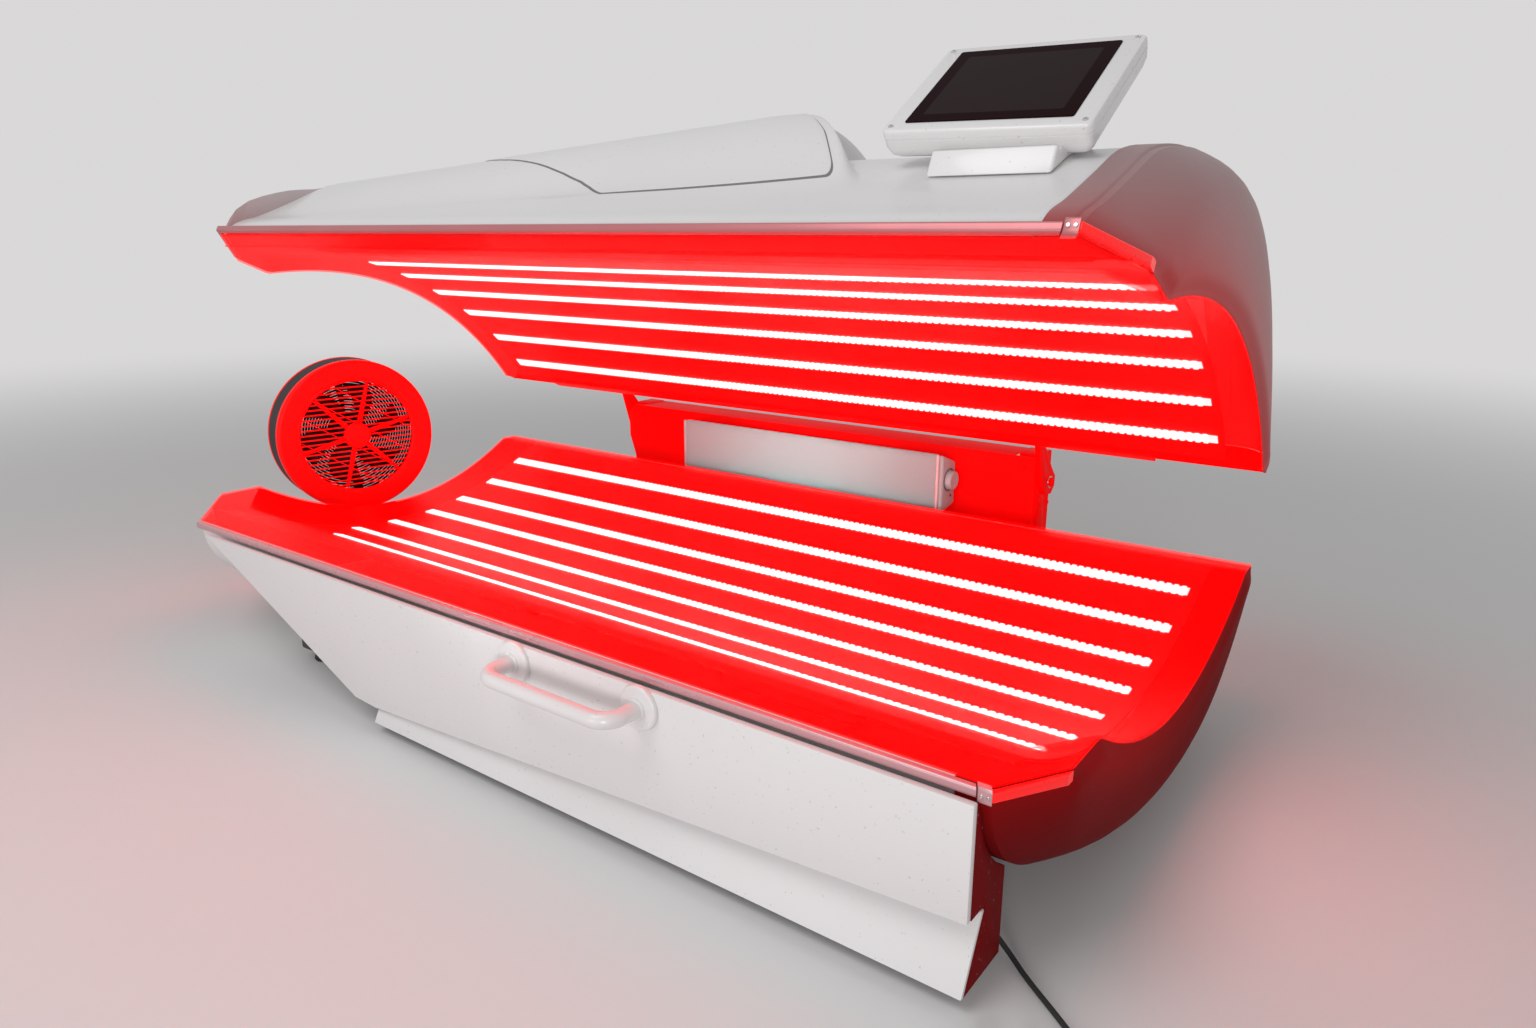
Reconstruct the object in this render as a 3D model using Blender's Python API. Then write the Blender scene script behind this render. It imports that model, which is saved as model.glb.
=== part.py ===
"""A red light therapy pod: a lit bed and a lit canopy that hinges up from a column behind it.

Units are metres. In the bed's own frame X runs along the bed, Y from its front rim to its back and Z up from
the floor. The canopy is drawn closed and is turned open about its hinge. All of it is then moved so that the
origin lies on the floor under the middle of the whole.
"""

import math

import bmesh
import bpy
from mathutils import Matrix, Vector

# Fits
GAP = 0.0003
RUNNING = 0.0006

# Bed: plan, rim and cradle
BED_LENGTH = 2.27
BED_DEPTH = 1.12
RIM_HEIGHT = 0.325
LEFT_FACET_X = 0.20
LEFT_FACET_Y = 0.145
RIGHT_FACET_X = 0.055
RIGHT_FACET_Y = 0.09
CRADLE_FRONT = 0.13
CRADLE_BACK = 0.05
CRADLE_SAG = 0.125
ACRYLIC = 0.005
TRIM_HEIGHT = 0.015
TRIM_DEPTH = 0.010
TRIM_BELOW = 0.006
TRIM_INSIDE = 0.014

# Bed: tub, end caps, lamp tray and strips
CAP_REACH = 0.115
TUB_WALL = 0.006
TUB_ROUNDNESS = 2.4
CAP_ROUNDNESS = 4.6
CAP_BULGE = 0.022
TRAY_LEFT = -1.01
TRAY_RIGHT = 1.065
TRAY_FRONT = 0.09
TRAY_DROP = 0.011
TRAY_SHEET = 0.003
TRAY_FLANGE = 0.02
STRIP_WIDTH = 0.028
STRIP_THICK = 0.004
STRIP_INSET = 0.016
STRIP_BUS = 0.03
BED_ROWS = (-0.670, -0.394, -0.106, 0.157, 0.389, 0.632, 0.868)

# Base
FOOT_HEIGHT = 0.025
FOOT_RADIUS = 0.026
FRAME_TUBE = 0.05
RAIL_WIDTH = 0.06
SIDE_RAIL = 0.10
FRAME_LEFT = -0.71
FRAME_RIGHT = 0.62
FRAME_FRONT = 0.10
FRAME_SHORT = 0.04
RAIL_OVERHANG = 0.32
SKIRT_RIGHT = 1.06
SKIRT_SHEET = 0.012
SKIRT_BOX = 0.10
SKIRT_LEFT_TOP = -0.862
SKIRT_LEFT_FOOT = -0.305
SKIRT_STEP = 0.069
SKIRT_FOOT_Z = 0.056
CREASE_LEFT_Z = 0.052
CREASE_RIGHT_Z = 0.132
KICK_BOTTOM = 0.022
KICK_LEAN = 0.476
KICK_PROUD = 0.005
KICK_SHEET = 0.008
KICK_REVEAL = 0.005

# Power supply and control unit on the tub's floor
SUPPLY_SIZE = (0.32, 0.26, 0.05)
SUPPLY_X = 0.46
CONTROL_SIZE = (0.20, 0.20, 0.04)
CONTROL_X = -0.40

# Grab handle
HANDLE_X = 0.3585
HANDLE_Z = 0.2725
HANDLE_SPAN = 0.29
HANDLE_RADIUS = 0.014
HANDLE_REACH = 0.072
HANDLE_BEND = 0.032
FLANGE_RADIUS = 0.0375
FLANGE_THICK = 0.008

# Column and hinge
HINGE_BEHIND = 0.18
HINGE_Z = 0.388
OPEN_DEGREES = 25.0
SHAFT_RADIUS = 0.015
POST_WIDTH = 0.055
POST_DEPTH = 0.075
POST_TOP = 0.460
COVER_REACH = 0.0305
COVER_TOP = 0.458
COVER_SHEET = 0.003
COVER_FOOT = 0.10
ARM_THICK = 0.014
ARM_HUB = 0.034
CRANK_REACH = 0.05
CRANK_THICK = 0.012
CRANK_WIDTH = 0.026
STRUT_INSET = 0.0225
STRUT_AHEAD = 0.0475
STRUT_RADIUS = 0.011
ROD_RADIUS = 0.005
CYLINDER_LENGTH = 0.165
ROD_SEAT = 0.002

# Soundbar
BAR_LEFT = -0.413
BAR_RIGHT = 0.402
BAR_DEPTH = 0.072
BAR_TOP = 0.449
BAR_HEIGHT = 0.148
BAR_GRILLE = 0.012
BAR_CAP_LEFT = 0.012
BAR_CAP_RIGHT = 0.012
BAR_ROUND = 0.012
KNOB_RADIUS = 0.024
KNOB_LENGTH = 0.016

# Fan
FAN_X = -1.22
FAN_BEHIND = 0.015
FAN_TURN_DEGREES = 15.0
FAN_RADIUS = 0.2225
FAN_MOUTH = 0.16
FAN_DEPTH = 0.11
FAN_WALL = 0.004
FAN_LIP = 0.010
FAN_STEPS = 40
GRILLE_RINGS = 5
GRILLE_HUB = 0.030
GRILLE_WIRE = 0.004
GRILLE_SPOKES = 6
GUARD_SPOKES = 4
GUARD_STEPS = 40
MOTOR_RADIUS = 0.045
MOTOR_DEPTH = 0.034
BLADES = 6
BLADE_TIP = 0.150
BLADE_DEPTH = 0.034
BLADE_TWIST_DEGREES = 14.0
FAN_SHELF = 0.006
FAN_SHELF_WIDTH = 0.10

# Canopy, drawn closed
CANOPY_RIM = 0.427
CANOPY_SHORT = 0.016
ARCH_FRONT = 0.11
ARCH_SAG = 0.117
CANOPY_ROWS = (-0.269, -0.055, 0.179, 0.417, 0.669, 0.901)
RAIL_LENGTH = 1.84
RAIL_DEPTH = 0.044
RAIL_HEIGHT = 0.05
SHELL_WALL = 0.006
SHELL_CAP_ROUNDNESS = 4.6
SHELL_CAP_BULGE = 0.012
# Height of the shell over the canopy's rim, by the distance behind its front edge.
SHELL_SECTION = (
    (0.0, 0.0116),
    (0.02, 0.042),
    (0.06, 0.078),
    (0.13, 0.148),
    (0.20, 0.218),
    (0.30, 0.279),
    (0.40, 0.321),
    (0.52, 0.338),
    (0.66, 0.318),
    (0.80, 0.263),
    (0.94, 0.183),
    (1.04, 0.106),
    (1.104, 0.057),
)
HUMP_LEFT = -1.0
HUMP_RISE = 0.09
HUMP_END = 0.37
HUMP_DROP = 0.05
HUMP_FRONT = 0.10
HUMP_FLANK = 0.16
HUMP_FADE = 0.60
HUMP_BACK = 0.95
ACCESS_LEFT = -0.45
ACCESS_RIGHT = 0.355
ACCESS_FRONT = 0.11
ACCESS_BACK = 0.34
ACCESS_SHEET = 0.003
SLANT_LEFT = 0.55
SLANT_RIGHT = 0.26

# Tablet on its pedestal
TABLET_X = 0.844
TABLET_WIDTH = 0.3185
TABLET_HEIGHT = 0.2528
TABLET_THICK = 0.035
TABLET_TILT_DEGREES = 58.5
TABLET_FOOT_Y = 0.138
TABLET_FOOT_Z = 0.6504
TABLET_ROUND = 0.012
GLASS_MARGIN_X = 0.032
GLASS_MARGIN_Y = 0.018
GLASS_THICK = 0.002
PEDESTAL_WIDTH = 0.19
PEDESTAL_FRONT = 0.14
PEDESTAL_STEP = 0.154
PEDESTAL_OFF = 0.02
PEDESTAL_BACK = 0.265

# Mains cord
CORD_DIAMETER = 0.008
GLAND_NUT_RADIUS = 0.012
GLAND_NUT = 0.012
GLAND_TAPER = 0.028
GLAND_TIP_RADIUS = 0.0065
# The cord's places after the gland: it drops to the floor and runs out to the front right.
CORD_ROUTE = (
    (1.000, 0.1300, 0.0492),
    (1.020, 0.1295, 0.0420),
    (1.045, 0.1250, 0.0262),
    (1.070, 0.1165, 0.0125),
    (1.096, 0.0990, 0.0068),
    (1.122, 0.0800, 0.0060),
    (1.150, 0.0600, 0.0060),
    (1.178, 0.0395, 0.0060),
    (1.205, 0.0190, 0.0060),
    (1.232, -0.0030, 0.0060),
    (1.260, -0.0270, 0.0060),
)
CORD_STEPS = 3
COIL_INNER = 0.032
COIL_PITCH = 0.0104
COIL_LAYER = 0.0088
COIL_TURNS = 3.0
COIL_POINTS = 24
COIL_TAIL = 0.034
TIE_SHEET = 0.0012
TIE_WIDTH = 0.012
TIE_CLEAR = 0.0008
PLUG_LENGTH = 0.042
PLUG_WIDTH = 0.036
PIN_RADIUS = 0.0024
PIN_LENGTH = 0.019
PIN_PITCH = 0.019

HALF = BED_LENGTH / 2
TUB_HALF = HALF - CAP_REACH
OPEN = math.radians(OPEN_DEGREES)
TRIM_TOP = RIM_HEIGHT - TRIM_BELOW
SKIRT_TOP = TRIM_TOP - TRIM_HEIGHT - GAP
FRAME_TOP = FOOT_HEIGHT + FRAME_TUBE
FRAME_BACK = BED_DEPTH - FRAME_SHORT
CRADLE_HALF = (BED_DEPTH - CRADLE_BACK - CRADLE_FRONT) / 2
CRADLE_MIDDLE = CRADLE_FRONT + CRADLE_HALF
CANOPY_BACK = BED_DEPTH - CANOPY_SHORT
ARCH_HALF = (CANOPY_BACK - RAIL_DEPTH - ARCH_FRONT) / 2
ARCH_MIDDLE = ARCH_FRONT + ARCH_HALF
HINGE_Y = BED_DEPTH + HINGE_BEHIND
COVER_FRONT = HINGE_Y - POST_DEPTH / 2 - COVER_REACH
STRUT_FOOT_Y = HINGE_Y - STRUT_AHEAD
BAR_FRONT = COVER_FRONT - BAR_DEPTH
FAN_Y = CRADLE_MIDDLE + FAN_BEHIND
TUB_TOP = RIM_HEIGHT - ACRYLIC - GAP
TUB_DEPTH = TUB_TOP - FRAME_TOP - GAP
SHEET_INSET = TRIM_INSIDE + GAP
SHEET_BACK = CANOPY_BACK - RAIL_DEPTH - GAP
CORD_RADIUS = CORD_DIAMETER / 2
CYCLE = 2 * math.pi


def clear_scene():
    for thing in list(bpy.data.objects):
        bpy.data.objects.remove(thing, do_unlink=True)


def finish_of(name, colour, roughness, metallic=0.0):
    finish = bpy.data.materials.new(name)
    finish.use_nodes = True
    shader = finish.node_tree.nodes["Principled BSDF"]
    shader.inputs["Base Color"].default_value = (*colour, 1.0)
    shader.inputs["Roughness"].default_value = roughness
    shader.inputs["Metallic"].default_value = metallic
    return finish


def empty(name, place, parent=None, turn=(0.0, 0.0, 0.0)):
    axis = bpy.data.objects.new(name, None)
    bpy.context.collection.objects.link(axis)
    axis.parent = parent
    axis.location = place
    axis.rotation_euler = turn
    return axis


def face_outwards(form):
    bmesh.ops.recalc_face_normals(form, faces=form.faces[:])
    if form.calc_volume(signed=True) < 0:
        bmesh.ops.reverse_faces(form, faces=form.faces[:])


def piece(name, form, finish, parent, place=(0.0, 0.0, 0.0)):
    """A named object from a bmesh, with its faces turned outwards and its round edges shaded smooth."""
    face_outwards(form)
    mesh = bpy.data.meshes.new(name)
    form.to_mesh(mesh)
    form.free()
    mesh.shade_smooth()
    mesh.set_sharp_from_angle(angle=math.radians(35))
    mesh.materials.append(finish)
    made = bpy.data.objects.new(name, mesh)
    bpy.context.collection.objects.link(made)
    made.parent = parent
    made.location = place
    return made


def helper(name, form, parent, place=(0.0, 0.0, 0.0)):
    """A cutter or an added lump, which shapes another object and isn't a piece itself."""
    face_outwards(form)
    mesh = bpy.data.meshes.new(name)
    form.to_mesh(mesh)
    form.free()
    made = bpy.data.objects.new(name, mesh)
    bpy.context.collection.objects.link(made)
    made.parent = parent
    made.location = place
    made.hide_render = True
    made.display_type = "WIRE"
    return made


def combine(target, other, operation):
    cut = target.modifiers.new(other.name, "BOOLEAN")
    cut.operation = operation
    cut.object = other
    cut.solver = "EXACT"


def blend(a, b, share):
    return a + (b - a) * share


def smooth_step(value):
    t = min(1.0, max(0.0, value))
    return t * t * (3 - 2 * t)


def spread(low, high, count):
    return [blend(low, high, i / (count - 1)) for i in range(count)]


def slab(us, vs, top, bottom, keep=None, wrap=False):
    """A closed solid between two surfaces, over the kept cells of a grid of u and v."""
    form = bmesh.new()
    columns = len(us) if wrap else len(us) - 1
    rows = len(vs) - 1
    upper, lower = {}, {}

    def kept(i, j):
        if wrap:
            i %= columns
        if not (0 <= i < columns and 0 <= j < rows):
            return False
        return keep is None or keep(i, j)

    def corner(store, surface, i, j):
        i = i % len(us) if wrap else i
        if (i, j) not in store:
            store[i, j] = form.verts.new(surface(us[i], vs[j]))
        return store[i, j]

    for i in range(columns):
        for j in range(rows):
            if not kept(i, j):
                continue
            loop = ((i, j), (i + 1, j), (i + 1, j + 1), (i, j + 1))
            beyond = ((i, j - 1), (i + 1, j), (i, j + 1), (i - 1, j))
            over = [corner(upper, top, *c) for c in loop]
            under = [corner(lower, bottom, *c) for c in loop]
            for a, b, c in ((0, 1, 2), (0, 2, 3)):
                form.faces.new((over[a], over[b], over[c]))
                form.faces.new((under[c], under[b], under[a]))
            for k in range(4):
                if kept(*beyond[k]):
                    continue
                a, b = loop[k], loop[(k + 1) % 4]
                side = (corner(upper, top, *b), corner(upper, top, *a))
                form.faces.new((*side, corner(lower, bottom, *a), corner(lower, bottom, *b)))
    return form


def lofted(rings):
    """A closed solid through rings of equal count, with flat ends."""
    form = bmesh.new()
    loops = [[form.verts.new(p) for p in ring] for ring in rings]
    for first, second in zip(loops, loops[1:]):
        count = len(first)
        for k in range(count):
            n = (k + 1) % count
            form.faces.new((first[k], first[n], second[n], second[k]))
    form.faces.new(list(reversed(loops[0])))
    form.faces.new(loops[-1])
    return form


def prism(outline, place, low, high):
    """An outline of (a, b) pairs drawn out from low to high; place(a, b, c) gives each point."""
    return lofted([[place(a, b, c) for a, b in outline] for c in (low, high)])


def along_x(a, b, c):
    return (c, a, b)


def along_y(a, b, c):
    return (a, c, b)


def along_z(a, b, c):
    return (a, b, c)


def box(low, high):
    outline = ((low[0], low[1]), (high[0], low[1]), (high[0], high[1]), (low[0], high[1]))
    return prism(outline, along_z, low[2], high[2])


def soften(form, width, segments=2, along=None):
    """Rounds the edges that run along one axis, or all of them."""
    chosen = []
    for edge in form.edges:
        run = (edge.verts[0].co - edge.verts[1].co).normalized()
        if along is None or abs(run[along]) > 0.99:
            chosen.append(edge)
    bmesh.ops.bevel(form, geom=chosen, offset=width, segments=segments, profile=0.5, affect="EDGES")
    return form


def turned(profile, steps, place):
    """A profile of (radius, height) pairs spun round an axis, closed unless it starts on the axis."""
    form = bmesh.new()
    loops = []
    for radius, height in profile:
        if radius == 0:
            loops.append([form.verts.new(place(0.0, 0.0, height))] * steps)
            continue
        ring = []
        for k in range(steps):
            angle = CYCLE * k / steps
            ring.append(form.verts.new(place(radius * math.cos(angle), radius * math.sin(angle), height)))
        loops.append(ring)
    pairs = list(zip(loops, loops[1:]))
    if profile[0][0] != 0:
        pairs.append((loops[-1], loops[0]))
    for first, second in pairs:
        for k in range(steps):
            n = (k + 1) % steps
            corners = list(dict.fromkeys((first[k], first[n], second[n], second[k])))
            form.faces.new(corners)
    return form


def rod(radius, low, high, steps, place):
    return turned(((0, low), (radius, low), (radius, high), (0, high)), steps, place)


def tube(name, points, radius, finish, parent, sides):
    """A round tube along a list of points, with closed ends."""
    curve = bpy.data.curves.new(name, "CURVE")
    curve.dimensions = "3D"
    curve.bevel_depth = radius
    curve.bevel_resolution = sides
    curve.use_fill_caps = True
    spline = curve.splines.new("POLY")
    spline.points.add(len(points) - 1)
    for target, point in zip(spline.points, points):
        target.co = (*point, 1.0)
    curve.materials.append(finish)
    made = bpy.data.objects.new(name, curve)
    bpy.context.collection.objects.link(made)
    made.parent = parent
    return made


# The bed's surfaces


def front_line(out):
    """The plan's front line, moved out from the rim: straight, with a facet cut off each corner."""
    path = (
        Vector((-HALF, LEFT_FACET_Y)),
        Vector((-HALF + LEFT_FACET_X, 0.0)),
        Vector((HALF - RIGHT_FACET_X, 0.0)),
        Vector((HALF, RIGHT_FACET_Y)),
    )
    normals = []
    for a, b in zip(path, path[1:]):
        run = (b - a).normalized()
        normals.append(Vector((run.y, -run.x)))
    ahead = Vector((0.0, -1.0))
    leans = (ahead, normals[0] + normals[1], normals[1] + normals[2], ahead)
    places = []
    for place, lean, normal in zip(path, leans, (normals[0], *normals)):
        along = lean.normalized()
        places.append(place + along * (out / along.dot(normal)))
    return places


def front_at(x):
    """The front edge of the sheets behind the trim."""
    line = front_line(-SHEET_INSET)
    for a, b in zip(line, line[1:]):
        if x <= b.x:
            break
    return blend(a.y, b.y, (x - a.x) / (b.x - a.x))


def sheet_stations():
    return [place.x for place in front_line(-SHEET_INSET)]


def cradle(y):
    t = (y - CRADLE_MIDDLE) / CRADLE_HALF
    return RIM_HEIGHT - CRADLE_SAG * max(0.0, 1 - t * t)


def cradle_share(share):
    """The sheet's height at a share of the way back, which a facet doesn't change."""
    return cradle(blend(front_at(0.0), BED_DEPTH, share))


def arch(y):
    t = (y - ARCH_MIDDLE) / ARCH_HALF
    return CANOPY_RIM + ARCH_SAG * max(0.0, 1 - t * t)


def arch_row(row):
    return arch(blend(front_at(0.0), CANOPY_BACK, row / CANOPY_BACK))


def bed_shares():
    """Shares across the bed: close together up its steep walls, even over the cradle."""
    first, last = front_at(0.0), BED_DEPTH
    inside = spread(CRADLE_MIDDLE - CRADLE_HALF, CRADLE_MIDDLE + CRADLE_HALF, 13)
    wall = (0.0, 0.002, 0.01, 0.03, 0.065)
    return [*wall, *((y - first) / (last - first) for y in inside), 0.97, 0.99, 0.998, 1.0]


def trim(z_low, z_high):
    face = TRIM_DEPTH - TRIM_INSIDE
    soft = TRIM_DEPTH * 0.35
    profile = (
        (-TRIM_INSIDE, z_low),
        (face - soft, z_low),
        (face, z_low + soft),
        (face, z_high - soft),
        (face - soft, z_high),
        (-TRIM_INSIDE, z_high),
    )
    lines = [(front_line(out), z) for out, z in profile]
    return lofted([[(*line[k], z) for line, z in lines] for k in range(4)])


def tub_point(x, share, inset):
    """The tub's section, a rounded bowl, at a share of the way from its front rim to its back."""
    y = blend(front_at(x) + inset, BED_DEPTH - inset, share)
    sag = (1 - abs(2 * share - 1) ** TUB_ROUNDNESS) ** (1 / TUB_ROUNDNESS)
    return (x, y, TUB_TOP - (TUB_DEPTH - inset) * sag)


def make_bed(root, white, grey, clear, metal, lamp):
    shares = bed_shares()

    def sheet_top(x, share):
        return (x, blend(front_at(x), BED_DEPTH, share), cradle_share(share))

    def sheet_under(x, share):
        return (x, blend(front_at(x), BED_DEPTH, share), cradle_share(share) - ACRYLIC)

    piece("bed_acrylic", slab(sheet_stations(), shares, sheet_top, sheet_under), clear, root)
    piece("bed_front_trim", trim(TRIM_TOP - TRIM_HEIGHT, TRIM_TOP), grey, root)

    def tub_inner(x, share):
        return tub_point(x, share, TUB_WALL)

    def tub_outer(x, share):
        return tub_point(x, share, 0.0)

    stations = (-TUB_HALF, sheet_stations()[1], TUB_HALF)
    piece("bed_tub", slab(stations, shares, tub_inner, tub_outer), white, root)
    for name, side in (("bed_end_cap_left", -1), ("bed_end_cap_right", 1)):
        piece(name, bed_end_cap(side, shares), grey, root)

    back = BED_DEPTH - TUB_WALL * 2
    centres = [CRADLE_MIDDLE + CRADLE_HALF * share for share in BED_ROWS]

    def tray_top(x, y):
        return (x, y, cradle(y) - ACRYLIC - GAP - tray_drop(y, back))

    def tray_under(x, y):
        return (x, y, tray_top(x, y)[2] - TRAY_SHEET)

    def lamp_under(x, y):
        return (x, y, tray_top(x, y)[2] + GAP)

    def lamp_top(x, y):
        return (x, y, tray_top(x, y)[2] + GAP + STRIP_THICK)

    across = tray_rows(centres, back)
    piece("bed_led_tray", slab((TRAY_LEFT, TRAY_RIGHT), across, tray_top, tray_under), metal, root)
    piece("bed_led_strips", strips(centres, lamp_top, lamp_under), lamp, root)


def tray_drop(y, back):
    """How far the tray stands off the sheet: nothing at its flanges, the lamps' room inside."""
    edge = min(y - TRAY_FRONT, back - y)
    return TRAY_DROP * smooth_step(edge / TRAY_FLANGE)


def strip_edges(centres):
    return [c + side * STRIP_WIDTH / 2 for c in centres for side in (-1, 1)]


def tray_rows(centres, back):
    """Rows across a tray: its flanges and every edge of the lamp strips."""
    steps = [TRAY_FLANGE * k / 3 for k in range(4)]
    edges = strip_edges(centres)
    front = [TRAY_FRONT + step for step in steps]
    first = spread(front[-1], edges[0], 4 if edges[0] - front[-1] > 0.15 else 3)[1:-1]
    return [*front, *first, *edges, *(back - step for step in reversed(steps))]


def strips(centres, top, under):
    """Lamp strips side by side, joined by the wiring board at their left ends."""
    start = TRAY_LEFT + STRIP_INSET
    stations = (start, start + STRIP_BUS, TRAY_RIGHT - STRIP_INSET)
    return slab(stations, strip_edges(centres), top, under, keep=lambda i, j: i == 0 or j % 2 == 0)


def bed_end_cap(side, shares):
    """A quarter bowl from the tub's end up to the edge of the acrylic sheet."""
    reach = HALF - TUB_HALF - GAP
    power = 2 / CAP_ROUNDNESS

    def skin(turn, share, inset):
        out = math.cos(turn) ** power if turn < math.pi / 2 else 0.0
        down = math.sin(turn) ** power
        bulge = CAP_BULGE * math.sin(2 * turn) * math.sin(math.pi * share)
        x = side * (TUB_HALF + GAP + (reach - inset) * out)
        front = front_at(x)
        x += side * bulge
        y = blend(front + inset, BED_DEPTH - inset, share)
        rim = cradle_share((y - front) / (BED_DEPTH - front)) - ACRYLIC - GAP - inset * 0.2
        return (x, y, blend(rim, tub_point(x, share, inset)[2], down))

    def outer(turn, share):
        return skin(turn, share, 0.0)

    def inner(turn, share):
        return skin(turn, share, TUB_WALL)

    turns = [share * math.pi / 2 for share in (0.0, 0.04, 0.15, 0.36, 0.6, 0.84, 0.96, 1.0)]
    return slab(turns, shares, inner, outer)


# Base, skirt and what is inside the tub


def make_base(root, steel, rubber, white, dark):
    middle = (FRAME_LEFT + FRAME_RIGHT) / 2
    half_rail = RAIL_WIDTH / 2
    xs = (
        FRAME_LEFT,
        FRAME_LEFT + SIDE_RAIL,
        middle - half_rail,
        middle + half_rail,
        FRAME_RIGHT - SIDE_RAIL,
        FRAME_RIGHT,
        FRAME_RIGHT + RAIL_OVERHANG,
    )
    ys = (
        FRAME_FRONT + GAP,
        FRAME_FRONT + RAIL_WIDTH,
        FRAME_BACK - RAIL_WIDTH,
        FRAME_BACK,
        HINGE_Y + POST_DEPTH / 2,
    )

    def kept(i, j):
        if j == 0:
            return True
        if j == 2:
            return i < 5
        return i in (0, 2, 4) if j == 1 else i in (0, 4)

    def frame_top(x, y):
        return (x, y, FRAME_TOP)

    def frame_under(x, y):
        return (x, y, FOOT_HEIGHT)

    piece("base_frame", slab(xs, ys, frame_top, frame_under, kept), steel, root)

    for end, x in (("left", FRAME_LEFT + SIDE_RAIL / 2), ("right", FRAME_RIGHT - SIDE_RAIL / 2)):
        for row, y in (("front", FRAME_FRONT + half_rail), ("rear", HINGE_Y)):
            profile = (
                (0, 0),
                (FOOT_RADIUS * 0.9, 0),
                (FOOT_RADIUS, FOOT_HEIGHT * 0.2),
                (FOOT_RADIUS * 0.8, FOOT_HEIGHT - GAP),
                (0, FOOT_HEIGHT - GAP),
            )
            piece(f"foot_{row}_{end}", turned(profile, 16, along_z), rubber, root, (x, y, 0.0))

    make_skirt(root, white)
    floor = TUB_TOP - TUB_DEPTH + TUB_WALL
    tub_middle = (SHEET_INSET + BED_DEPTH) / 2
    for name, x, size in (("power_supply", SUPPLY_X, SUPPLY_SIZE), ("control_unit", CONTROL_X, CONTROL_SIZE)):
        seat = tub_floor_height(size[1] / 2) + 3 * GAP
        low = (x - size[0] / 2, tub_middle - size[1] / 2, seat)
        high = (x + size[0] / 2, tub_middle + size[1] / 2, floor + size[2])
        piece(name, box(low, high), dark, root)


def tub_floor_height(off):
    """The inner floor of the tub, off to one side of its middle."""
    half = (BED_DEPTH - SHEET_INSET) / 2 - TUB_WALL
    share = (1 - (off / half) ** TUB_ROUNDNESS) ** (1 / TUB_ROUNDNESS)
    return TUB_TOP - (TUB_DEPTH - TUB_WALL) * share


def make_skirt(root, white):
    left_step = SKIRT_LEFT_FOOT + SKIRT_STEP
    outline = (
        (SKIRT_LEFT_TOP, SKIRT_TOP),
        (SKIRT_LEFT_FOOT, SKIRT_FOOT_Z),
        (left_step, CREASE_LEFT_Z),
        (SKIRT_RIGHT, CREASE_RIGHT_Z),
        (SKIRT_RIGHT, SKIRT_TOP),
    )
    piece("front_skirt", prism(outline, along_y, -SKIRT_SHEET, 0.0), white, root)

    def kick_ring(x, top):
        rise = top - KICK_BOTTOM
        front = -SKIRT_SHEET - KICK_PROUD
        return (
            (x, front, KICK_BOTTOM),
            (x, front + KICK_SHEET, KICK_BOTTOM),
            (x, front + KICK_SHEET + KICK_LEAN * rise, top),
            (x, front + KICK_LEAN * rise, top),
        )

    left_top = CREASE_LEFT_Z - KICK_REVEAL
    right_top = CREASE_RIGHT_Z - KICK_REVEAL
    rings = [kick_ring(left_step, left_top), kick_ring(SKIRT_RIGHT, right_top)]
    piece("kick_panel", lofted(rings), white, root)

    # The right return closes the skirt's end and is cut round the tub's bowl.
    clear_of_tub = 0.004
    bowl = []
    for share in spread(0.002, 0.08, 10):
        y, z = tub_point(0.0, share, 0.0)[1:]
        if y - clear_of_tub < SKIRT_BOX:
            bowl.append((y - clear_of_tub, z - clear_of_tub))
    kick_back = kick_ring(SKIRT_RIGHT, right_top)
    outline = [(GAP, CREASE_RIGHT_Z), (GAP, SKIRT_TOP)] + bowl
    outline += [(SKIRT_BOX, bowl[-1][1]), (SKIRT_BOX, KICK_BOTTOM)]
    outline += [(kick_back[1][1] + 2 * GAP, KICK_BOTTOM), (kick_back[2][1] + 2 * GAP, right_top)]
    outline += [(kick_back[2][1] + 2 * GAP, CREASE_RIGHT_Z)]
    low, high = SKIRT_RIGHT - SKIRT_SHEET, SKIRT_RIGHT
    piece("skirt_return_right", prism(outline, along_x, low, high), white, root)

    # The left return follows the skirt's slanted end.
    drop = SKIRT_TOP - SKIRT_FOOT_Z
    run = SKIRT_LEFT_FOOT - SKIRT_LEFT_TOP
    thick = SKIRT_SHEET * math.hypot(run, drop) / drop
    high_share = 0.64
    top = (blend(SKIRT_LEFT_TOP, SKIRT_LEFT_FOOT, high_share), blend(SKIRT_TOP, SKIRT_FOOT_Z, high_share))
    outline = (
        top,
        (SKIRT_LEFT_FOOT, SKIRT_FOOT_Z),
        (SKIRT_LEFT_FOOT + thick, SKIRT_FOOT_Z),
        (top[0] + thick, top[1]),
    )
    piece("skirt_return_left", prism(outline, along_y, GAP, SKIRT_BOX), white, root)


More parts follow.
